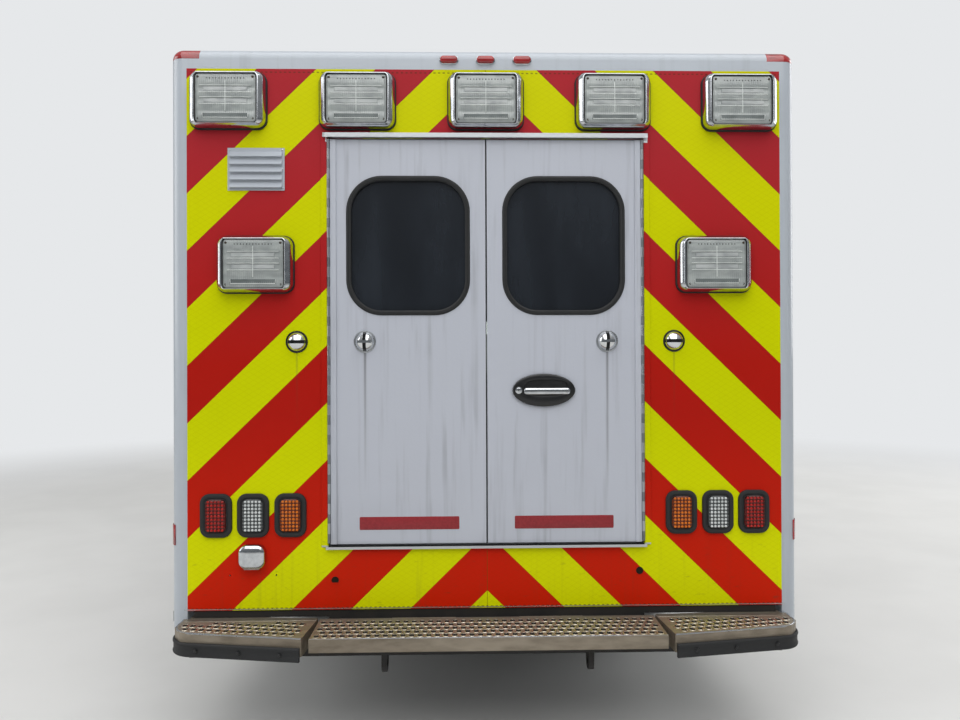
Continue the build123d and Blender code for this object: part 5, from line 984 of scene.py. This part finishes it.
def tyreSurface():
    # a section (across, radius) turned about the axle, lower where the turn's phase is in a sipe
    wall = [
        (0.0760, 0.2072), (0.0870, 0.2120), (0.0945, 0.2210), (0.0985, 0.2290), (0.1000, 0.2345),
        (0.1060, 0.2520), (0.1105, 0.2740), (0.1119, 0.2930), (0.1105, 0.3130), (0.1085, 0.3190),
        (0.1080, 0.3230), (0.1045, 0.3400), (0.1010, 0.3520), (0.0965, 0.3590), (0.0925, 0.3625),
    ]
    edges = [0.0880, 0.0740]
    for middle in tyre["grooves"]:
        edges += [middle + 0.0060, middle + 0.0045, middle - 0.0045, middle - 0.0060]
        edges += [middle - 0.0150, middle - 0.0205]
    tread = []
    for across in edges[:-1]:
        crown = tyre["crown"] - 0.0072 * (across / 0.092) ** 2
        low = any(abs(across - m) < 0.005 for m in tyre["grooves"])
        tread.append((across, crown - tyre["depth"] if low else crown))
    half = np.array(wall + tread)
    bead = [[-0.050, 0.2072], [0.050, 0.2072]]
    profile = np.vstack([half, [[0, tyre["crown"]]], (half * [-1, 1])[::-1], bead])
    phase = np.array([0.0, 0.03, 0.17, 0.20, 0.52, 0.60])
    turn = (np.arange(tyre["pitches"])[:, None] + phase[None]).ravel() * 2 * math.pi / tyre["pitches"]
    across, radius = profile[:, 0], profile[:, 1]
    inSipe = ((phase > 0.01) & (phase < 0.18))[None].repeat(tyre["pitches"], 0).ravel()
    shoulder = (np.abs(across) > 0.066) & (np.abs(across) < 0.0966) & (radius > 0.355)
    rib = (np.abs(across) < 0.056) & (radius > 0.3665)
    depth = np.where(shoulder, 0.0075, np.where(rib, 0.0035, 0.0))
    r = radius[:, None] - depth[:, None] * inSipe[None]
    skew = 0.55 * across[:, None] * (np.abs(across[:, None]) < 0.097)
    angle = turn[None] + skew
    grid = np.stack([across[:, None] + 0 * angle, r * np.cos(angle), r * np.sin(angle)], 2)
    return surface(grid, True, True)


holeLip = [(None, 0), (0.0225, 0), (0.0200, -0.0015), (0.0190, -0.0060), (0.0215, -0.0030), (None, -0.003)]


def coverSurface(outer, inner, r1, z1, r0, z0, steps=64):
    # a turned rim and hub joined by eight sectors, each drawn from its outline to a round hole; r0 and z0
    # are the hub's edge, r1 and z1 the rim's, and heights between them lie on a straight line
    front, back = turned(outer, steps), turned(inner, steps)
    sectors = []
    side = np.linspace(-1, 1, 9)[:-1]
    rectangle = np.vstack([
        np.stack([side, -np.ones(8)], 1), np.stack([np.ones(8), side], 1),
        np.stack([-side, np.ones(8)], 1), np.stack([-np.ones(8), -side], 1),
    ])
    turn = np.arctan2(rectangle[:, 0], rectangle[:, 1])
    for k in range(8):
        angle = math.radians(22.5) * rectangle[:, 0] + math.radians(45) * k
        radius = (r0 + r1) / 2 + (r1 - r0) / 2 * rectangle[:, 1]
        outline = np.stack([radius * np.cos(angle), radius * np.sin(angle)], 1)
        middle = (r0 + r1) / 2 * np.array([math.cos(math.radians(45) * k), math.sin(math.radians(45) * k)])
        away = turn + math.radians(45) * k
        # the rectangle's height runs outwards and its width runs round, so the hole's angle starts outwards
        hole = np.stack([np.cos(away), np.sin(away)], 1)
        rows = []
        for reach, drop in holeLip:
            flat = outline if reach is None else middle + hole * reach
            r = np.linalg.norm(flat, axis=1)
            z = z0 + (z1 - z0) * (r - r0) / (r1 - r0) + drop
            rows.append(np.column_stack([flat, z]))
        sectors.append(surface(np.stack(rows), False, True))
    return joined([front, back] + sectors)


frontOuter = [
    (0.178, 0.0540), (0.1830, 0.0528), (0.1900, 0.0545), (0.1938, 0.0600), (0.1962, 0.0760),
    (0.1985, 0.0845), (0.2030, 0.0870), (0.2070, 0.0840), (0.2068, 0.0795), (0.2030, 0.0805),
    (0.2005, 0.0780), (0.1960, 0.0560), (0.1900, 0.0500), (0.178, 0.0510),
]
frontInner = [
    (0.120, 0.0660), (0.112, 0.0685), (0.104, 0.0690), (0.077, 0.0690), (0.0720, 0.0730),
    (0.0670, 0.0880), (0.0610, 0.0955), (0.0520, 0.0978), (0.0500, 0.0972), (0.0300, 0.1000),
    (0, 0.1010), (0, 0.0670), (0.120, 0.0630),
]
rearOuter = [
    (0.178, 0.0360), (0.1840, 0.0365), (0.1885, 0.0420), (0.1905, 0.0600), (0.1925, 0.1300),
    (0.1960, 0.2030), (0.1985, 0.2115), (0.2030, 0.2140), (0.2070, 0.2110), (0.2068, 0.2065),
    (0.2030, 0.2072), (0.2005, 0.2040), (0.1945, 0.1300), (0.1925, 0.0600), (0.1885, 0.0385),
    (0.178, 0.0330),
]
rearInner = [
    (0.122, 0.0185), (0.112, 0.0168), (0.104, 0.0162), (0.080, 0.0162), (0.0755, 0.0200),
    (0.0710, 0.0880), (0.0660, 0.0985), (0.0560, 0.1015), (0.0540, 0.1008), (0.0300, 0.1040),
    (0, 0.1050), (0, 0.0140), (0.122, 0.0155),
]
nut = turned([
    (0.0150, 0.0), (0.0152, 0.0030), (0.0118, 0.0050), (0.0116, 0.0240), (0.0095, 0.0290), (0.0060, 0.0310),
    (0, 0.0315),
], 12)
ring = np.radians(22.5 + np.arange(8) * 45)
wheels = {  # body, CAD node, y of the axle, middles of the tyres and of the wheel, cover, height of its nuts
    "front": ("front_wheel", "front_tyre", 2.589, [0.880], 0.880,
              coverSurface(frontOuter, frontInner, 0.178, 0.0540, 0.120, 0.0660), 0.0680),
    "rear": ("rear_wheels", "rear_tyres", -1.424, [0.773, 1.027], 0.900,
             coverSurface(rearOuter, rearInner, 0.178, 0.0360, 0.122, 0.0185), 0.0152),
}
tyrePart = tyreSurface()
for side, sign in (("left", -1), ("right", 1)):
    outFrame = np.array([[0, 1, 0], [0, 0, 1], [sign, 0, 0]])
    for place, (body, node, y, middles, shift, cover, nutZ) in wheels.items():
        body, name = f"{body}_{side}", f"{place}_{side}"
        spots = [[sign * x, y, tyre["axle"]] for x in middles]
        spread = scattered(tyrePart, spots, np.diag([sign, 1, 1]))
        addPiece(f"tyres_{name}", spread, finish["tyre"], body, "tyre", [f"{node}_{side}"])
        spot = [[sign * shift, y, tyre["axle"]]]
        addPiece(f"wheelCover_{name}", scattered(cover, spot, outFrame), finish["cover"], body, "chrome")
        nutSpots = np.stack([0.0905 * np.cos(ring), 0.0905 * np.sin(ring), np.full(8, nutZ)], 1)
        nuts = scattered(scattered(nut, nutSpots, upFrame), spot, outFrame)
        addPiece(f"wheelNuts_{name}", nuts, finish["chrome"], body, "chrome")
print("wheels")

# cab: glazing rubbers round the windshield and the door windows, as polygons with rounded corners
def polygonPath(corners, radius, steps=8):
    # each corner becomes an arc, whose outward directions lie across the line
    corners = np.asarray(corners, float)
    points, outward = [], []
    for k, corner in enumerate(corners):
        before = corners[k - 1] - corner
        after = corners[(k + 1) % len(corners)] - corner
        before, after = before / np.linalg.norm(before), after / np.linalg.norm(after)
        halfAngle = math.acos(np.clip(before @ after, -1, 1)) / 2
        middle = corner + (before + after) / np.linalg.norm(before + after) * radius / math.sin(halfAngle)
        first = np.array([before[1], -before[0]])
        first = -first if first @ (corner - middle) < 0 else first
        last = np.array([after[1], -after[0]])
        last = -last if last @ (corner - middle) < 0 else last
        start = math.atan2(first[1], first[0])
        turn = math.atan2(first[0] * last[1] - first[1] * last[0], first @ last)
        angles = start + np.linspace(0, turn, steps)
        ring = np.stack([np.cos(angles), np.sin(angles)], 1)
        points.append(middle + radius * ring)
        outward.append(ring)
    return np.vstack(points), np.vstack(outward)


screenFrame = np.array([[-1, 0, 0], [0, -0.5416, 0.8406], [0, 0.8406, 0.5416]])
screenSpot = [[0, 2.090, 1.6625]]
screenCorners = [(-0.880, -0.373), (0.880, -0.373), (0.780, 0.368), (-0.780, 0.368)]
screenSeal = ringSweep(polygonPath(screenCorners, 0.060), [
    (-0.016, -0.004), (-0.016, 0.0030), (-0.010, 0.0050), (0.004, 0.0062), (0.013, 0.0045),
    (0.0165, 0.0005), (0.016, -0.002),
])
addPiece("windshieldSeal", scattered(screenSeal, screenSpot, screenFrame), finish["rubber"], slot="rubber")
windowCorners = [(1.215, 1.270), (2.035, 1.270), (2.035, 1.476), (1.768, 1.890), (1.215, 1.890)]
windowSeal = [
    (-0.014, -0.006), (-0.014, 0.0020), (-0.008, 0.0045), (0.004, 0.0050), (0.011, 0.0030),
    (0.014, -0.0005), (0.012, -0.004),
]
for side, sign in (("left", -1), ("right", 1)):
    # rows of the frame: along the vehicle, up the leaning glass from its foot, and out of it
    lean = np.array([[0, 1, 0], [-sign * 0.0989, 0, 0.9951], [sign * 0.9951, 0, 0.0989]])
    path = polygonPath([(y, (z - 1.18) / 0.9951) for y, z in windowCorners], 0.045)
    ring = scattered(ringSweep(path, windowSeal), [[sign * 1.015, 0, 1.18]], lean)
    addPiece(f"cabWindowSeal_{side}", ring, finish["rubber"], f"cab_door_{side}", "rubber")
print("cab seals")

# headlamps: a metallised bowl with a bulb behind a fluted lens, and an amber turn lamp under each
lampSpots = [[sign * 0.695, 3.2445, 0.815] for sign in (-1, 1)]


def bowlHeight(a, b):  # a paraboloid that opens forwards: depth less the squared distance from the axis
    return -0.058 + 0.052 * np.clip((a / 0.151) ** 2 * 0.75 + (b / 0.111) ** 2 * 0.6, 0, 1)


bowl = evenField(0.1515, 0.1115, (41, 31), bowlHeight, -0.061, 0.016)
addPiece("headlampBowls", scattered(bowl, lampSpots, frontFrame), finish["reflector"], slot="chrome")
bulb = turned([(0.010, -0.055), (0.010, -0.030), (0.0085, -0.024), (0.0045, -0.019), (0, -0.018)], 20)
addPiece("headlampBulbs", scattered(bulb, lampSpots, frontFrame), whiteLens)


def lampFlutes(a, b):  # broad flutes, the sine's size across, crossed by a softer one up
    edge = 1 - smooth(np.maximum(np.abs(a) / 0.150, np.abs(b) / 0.110), 0.93, 0.99)
    flute = 0.0011 * np.abs(np.sin(a * math.pi / 0.0168)) + 0.0005 * np.abs(np.sin(b * math.pi / 0.037))
    return -0.0035 + (0.0022 + flute) * edge


lampLens = scattered(evenField(0.1505, 0.1105, (145, 49), lampFlutes, -0.0060, 0.016), lampSpots, frontFrame)
addPiece("headlampLenses", lampLens, lampGlass, slot="lens_clear", sharp=60)
trimRing = ringSweep(roundedPath(0.312, 0.232, 0.020, 8), [
    (-0.0065, -0.012), (-0.0065, -0.0008), (-0.0040, 0.0014), (-0.0006, 0.0010), (0.0, -0.0010),
    (0.0, -0.012),
])
addPiece("headlampRims", scattered(trimRing, lampSpots, frontFrame), finish["chrome"], slot="chrome")


def turnFlutes(a, b):  # the sine's size across, narrower than the headlamp's
    edge = 1 - smooth(np.maximum(np.abs(a) / 0.151, np.abs(b) / 0.0245), 0.88, 0.99)
    return -0.003 + 0.0036 * edge + 0.0010 * np.abs(np.sin(a * math.pi / 0.0112)) * edge


turnLens = evenField(0.1515, 0.0248, (109, 13), turnFlutes, -0.055, 0.010)
turnSpots = [[x, y, 0.658] for x, y, _ in lampSpots]
addPiece("turnLamps", scattered(turnLens, turnSpots, frontFrame), amberLens, slot="lamp_red", sharp=60)
print("front lamps")

# wipers: arms from pivots under the windshield, each with a blade lying on the glass
def onScreen(a, b, out):  # a place over the windshield from its own coordinates
    return np.array(screenSpot[0]) + np.array([a, b, out]) @ screenFrame


cap = turned([(0.017, 0), (0.017, 0.012), (0.012, 0.020), (0, 0.021)], 20)
wiper = {"reach": 0.46, "angle": math.radians(21.7), "foot": -0.396}
along = np.array([-math.cos(wiper["angle"]), math.sin(wiper["angle"])])
arms, blades = [], []
for a in (0.48, -0.34):
    pivot = np.array([a, wiper["foot"]])
    tip = pivot + wiper["reach"] * along
    course = [
        onScreen(*pivot, 0.002), onScreen(*pivot, 0.022), onScreen(*(pivot * 0.55 + tip * 0.45), 0.026),
        onScreen(*tip, 0.014),
    ]
    arms.append(tube(bent(course, 0.04, 5), 0.0050, 8, (0.3, 0.2, 1)))
    arms.append(scattered(cap, [onScreen(*pivot, -0.004)], screenFrame))
    ends = [onScreen(*(tip + along * s), 0.0085) for s in (-0.24, -0.12, 0, 0.12, 0.21)]
    blades.append(tube(ends, 0.0042, 6, (0.3, 0.2, 1)))
addPiece("wiperArms", joined(arms), finish["black"], slot="dark_plastic")
addPiece("wiperBlades", joined(blades), finish["rubber"])

# mirrors: silvered glass, flat above and convex below, in the housings' rear faces
for side, sign in (("left", -1), ("right", 1)):
    spot = [[sign * 1.2025, 2.0200, 1.560]]
    flat = lofted(roundedPath(0.160, 0.205, 0.020, 7), [(0.002, 0.000), (0.002, 0.0025), (0, 0.0035)])
    low = lofted(roundedPath(0.160, 0.100, 0.020, 7), [
        (0.002, 0.000), (0.002, 0.0025), (-0.002, 0.0040), (-0.012, 0.0062), (-0.030, 0.0085),
        (-0.044, 0.0095),
    ])
    glass = scattered(joined([flat, shifted(low, [0, -0.166, 0])]), spot, rearFrame)
    addPiece(f"mirrorGlass_{side}", glass, finish["mirror"], f"cab_door_{side}", "glass")
print("wipers and mirrors")

# sides: fuel door, shore inlet, grab rail, drip rails, marker lamps and mud flaps
lid = lofted(roundedPath(0.160, 0.160, 0.020, 7), [
    (0, 0.001), (0, 0.0045), (-0.0015, 0.0060), (-0.010, 0.0066),
])
lidRim = ringSweep(roundedPath(0.196, 0.196, 0.034, 9), [
    (0, 0), (0, 0.004), (-0.004, 0.0075), (-0.012, 0.0078), (-0.0165, 0.0055), (-0.0165, 0),
])
latch = turned([(0.012, 0.006), (0.012, 0.0085), (0.009, 0.0100), (0, 0.0100)], 20)
fuelSpot = [[-sideX, -1.424, 1.005]]
addPiece("fuelDoorRim", scattered(lidRim, fuelSpot, leftFrame), finish["cast"], slot="cast")
addPiece("fuelDoor", scattered(lid, fuelSpot, leftFrame), bodyEnamel, slot="body_white")
addPiece("fuelLatch", scattered(shifted(latch, [0.055, 0, 0]), fuelSpot, leftFrame), finish["chrome"])
inlet = turned([
    (0.052, 0), (0.052, 0.006), (0.047, 0.010), (0.043, 0.012), (0.043, 0.026), (0.038, 0.031),
    (0.010, 0.034), (0, 0.034),
], 36)
addPiece("shoreInlet", scattered(inlet, [[-sideX, -1.760, 1.000]], leftFrame), finish["cast"], slot="cast")
rail = {"y": -0.395, "low": 1.120, "high": 1.640, "out": 0.052}
railBend = bent([
    (sideX + out, rail["y"], z)
    for out, z in ((0.001, rail["low"]), (rail["out"], rail["low"]), (rail["out"], rail["high"]),
                   (0.001, rail["high"]))
], 0.05, 9)
railFoot = turned([(0.030, 0), (0.030, 0.003), (0.022, 0.008), (0.018, 0.010), (0, 0.010)], 24)
feet = scattered(railFoot, [[sideX, rail["y"], z] for z in (rail["low"], rail["high"])], rightFrame)
addPiece("grabRail", joined([tube(railBend, 0.0150, 16, (0, 1, 0)), feet]), finish["trim"], slot="aluminium")
drip = boxPart((-0.5, 0, 0), (0.5, 0.014, 0.019), 0.004)  # a metre long, drawn out to each length
drips = []
for face, x, y, z, length in (
    (leftFrame, -sideX, 0.630, 2.112, 0.66), (leftFrame, -sideX, -2.480, 2.112, 0.90),
    (rightFrame, sideX, -2.480, 2.112, 0.90), (rightFrame, sideX, 0.075, 2.284, 0.88),
    (leftFrame, -sideX, -0.290, 1.352, 1.04),
):
    drips.append(scattered((drip[0] * [length, 1, 1], drip[1]), [[x, y, z]], face))
addPiece("dripRails", joined(drips), finish["trim"], slot="aluminium")
marker = lofted(roundedPath(0.100, 0.034, 0.008, 6), [(0, 0), (0, 0.006), (-0.002, 0.0105), (-0.006, 0.012)])
sideMarkers = [([[s * sideX, 0.985, 0.640]], f) for s, f in ((-1, leftFrame), (1, rightFrame))]
addPiece("sideMarkers", joined([scattered(marker, *m) for m in sideMarkers]), amberLens, slot="lamp_red")
roofLamp = lofted(roundedPath(0.110, 0.052, 0.018, 7), [
    (0.003, 0), (0.003, 0.004), (0, 0.006), (-0.003, 0.018), (-0.009, 0.0245), (-0.020, 0.0265),
])
roofSpots = [[x, 1.700, 2.084] for x in (-0.62, -0.17, 0, 0.17, 0.62)]
addPiece("cabMarkers", scattered(roofLamp, roofSpots, upFrame), amberLens, slot="lamp_red")
flap = boxPart((-0.245, 0.120, -0.004), (0.245, 0.528, 0.004), 0.003)
flapBar = boxPart((-0.245, 0.500, -0.010), (0.245, 0.528, 0.010), 0.003)
flapSpots = [[s * 0.905, -1.925, 0] for s in (-1, 1)]
addPiece("mudFlaps", scattered(flap, flapSpots, rearFrame), finish["rubber"], slot="rubber")
addPiece("flapBars", scattered(flapBar, flapSpots, rearFrame), finish["frame"], slot="frame_black")
print("side fittings")

# cushions: each starts as a rounded block, is remeshed, and swells between its pinned seams
softness = {"voxel": 0.0065, "pressure": 4.0, "frames": 20, "cap": 0.024}


def swollen(part, pinned, voxel):  # a closed form after the cloth's pressure has filled it
    points, quads = part
    mesh = bpy.data.meshes.new("pad")
    mesh.from_pydata(points.tolist(), [], quads.tolist())
    shape = bmesh.new()
    shape.from_mesh(mesh)
    bmesh.ops.remove_doubles(shape, verts=shape.verts, dist=1e-5)
    bmesh.ops.dissolve_degenerate(shape, edges=shape.edges, dist=1e-6)
    bmesh.ops.recalc_face_normals(shape, faces=shape.faces)
    shape.to_mesh(mesh)
    shape.free()
    pad = bpy.data.objects.new("pad", mesh)
    scene.collection.objects.link(pad)
    remesh = pad.modifiers.new("remesh", "REMESH")
    remesh.mode, remesh.voxel_size = "VOXEL", voxel
    solid = bpy.data.meshes.new_from_object(pad.evaluated_get(bpy.context.evaluated_depsgraph_get()))
    pad.modifiers.clear()
    pad.data = solid
    count = len(solid.vertices)
    start = np.empty(count * 3)
    solid.vertices.foreach_get("co", start)
    start = start.reshape(-1, 3)
    corners = np.empty(len(solid.loops), int)
    solid.loops.foreach_get("vertex_index", corners)
    end = start
    group = pad.vertex_groups.new(name="seams")
    group.add(np.nonzero(pinned(start))[0].tolist(), 1.0, "REPLACE")
    cloth = pad.modifiers.new("cloth", "CLOTH")
    cloth.settings.vertex_group_mass = "seams"
    cloth.settings.use_pressure = True
    cloth.settings.uniform_pressure_force = softness["pressure"]
    cloth.settings.effector_weights.gravity = 0
    cloth.settings.quality = 5
    cloth.point_cache.frame_start, cloth.point_cache.frame_end = 1, softness["frames"]
    for number in range(1, softness["frames"] + 1):
        scene.frame_set(number)
    result = pad.evaluated_get(bpy.context.evaluated_depsgraph_get()).to_mesh()
    end = np.empty(count * 3)
    result.vertices.foreach_get("co", end)
    end = end.reshape(-1, 3)
    moved = end - start
    far = np.linalg.norm(moved, axis=1)[:, None]
    end = start + moved * np.minimum(1, softness["cap"] / np.maximum(far, 1e-9))
    pad.modifiers.clear()
    scene.frame_set(1)
    bpy.data.objects.remove(pad)
    return end, corners.reshape(-1, 4)


def addPad(name, part, material, replaced=()):  # a cushion, evened a little
    piece = addPiece(name, part, material, slot="upholstery", replaced=replaced, sharp=180)
    evened = piece.modifiers.new("evened", "SMOOTH")
    evened.factor, evened.iterations = 0.5, 2
    return piece


seat = {"x": 0.470, "lean": (-0.1915, 0.9815)}
a, b = seat["lean"]
backFrame = np.array([[1, 0, 0], [0, a, b], [0, b, -a]])
pillow = [(-0.040, 0), (-0.012, 0.008), (0, 0.026), (0, 0.078), (-0.010, 0.096), (-0.034, 0.104)]
headPillow = [(out * 0.8, up * 0.75) for out, up in pillow]
forms = {  # outline, levels, side seams at, cross seams at, middle and frame of each piece's own coordinates
    "Cushion": ((0.430, 0.400, 0.055), pillow, 0.125, (-0.06, 0.06), (0, 1.480, 0.955), upFrame),
    "Back": ((0.430, 0.540, 0.070), pillow, 0.125, (-0.15, -0.03, 0.09), (0, 1.196, 1.345), backFrame),
    "Head": ((0.220, 0.140, 0.045), headPillow, None, (), (0, 1.152, 1.712), backFrame),
}
for name, (outline, levels, sideSeam, crossSeams, middle, face) in forms.items():
    top = levels[3][1]

    def pinned(p):  # the foot, and the seams in the front face
        down = p[:, 2] < 0.012
        seam = np.zeros(len(p), bool)
        if sideSeam:
            seam |= (np.abs(np.abs(p[:, 0]) - sideSeam) < 0.0045) & (p[:, 2] > top)
            for b in crossSeams:
                seam |= (np.abs(p[:, 1] - b) < 0.0045) & (p[:, 2] > top) & (np.abs(p[:, 0]) < sideSeam)
        return down | seam

    form = swollen(lofted(roundedPath(*outline, 9), levels), pinned, softness["voxel"])
    for side, sign in (("left", -1), ("right", 1)):
        placed = scattered(form, [[sign * seat["x"], middle[1], middle[2]]], face)
        first = name == "Cushion" and side == "left"
        addPad(f"seat{name}_{side}", placed, finish["seat"], ["seats"] if first else ())
bench = {"middle": (0.9135, -1.240, 1.182), "size": (0.478, 1.405, 0.030), "seam": 0.235, "voxel": 0.0085}
benchLevels = [(-0.012, 0), (-0.002, 0.006), (0, 0.016), (0, 0.044), (-0.008, 0.054), (-0.022, 0.058)]


def benchPins(p):  # the bench's foot and its two cross seams
    return (p[:, 2] < 0.008) | ((np.abs(np.abs(p[:, 1]) - bench["seam"]) < 0.006) & (p[:, 2] > 0.04))


benchForm = swollen(lofted(roundedPath(*bench["size"], 9), benchLevels), benchPins, bench["voxel"])
addPad("benchCushion", scattered(benchForm, [bench["middle"]], upFrame), finish["seat"])
stand = joined([
    boxPart((-0.19, 1.290, 0.779), (0.19, 1.640, 0.860), 0.012),
    boxPart((-0.215, 1.270, 0.858), (0.215, 1.670, 0.957), 0.02),
    boxPart((-0.205, 1.225, 0.900), (0.205, 1.290, 1.000), 0.02),
])
stands = scattered(stand, [[-seat["x"], 0, 0], [seat["x"], 0, 0]], upFrame)
addPiece("seatStands", stands, finish["plastic"], slot="dark_plastic")
stems = []
for s in (-1, 1):
    for x in (s * seat["x"] - 0.05, s * seat["x"] + 0.05):
        stems.append(tube([(x, 1.190, 1.590), (x, 1.176, 1.665)], 0.006, 10))
addPiece("headStems", joined(stems), finish["chrome"], slot="chrome")
print("seats")
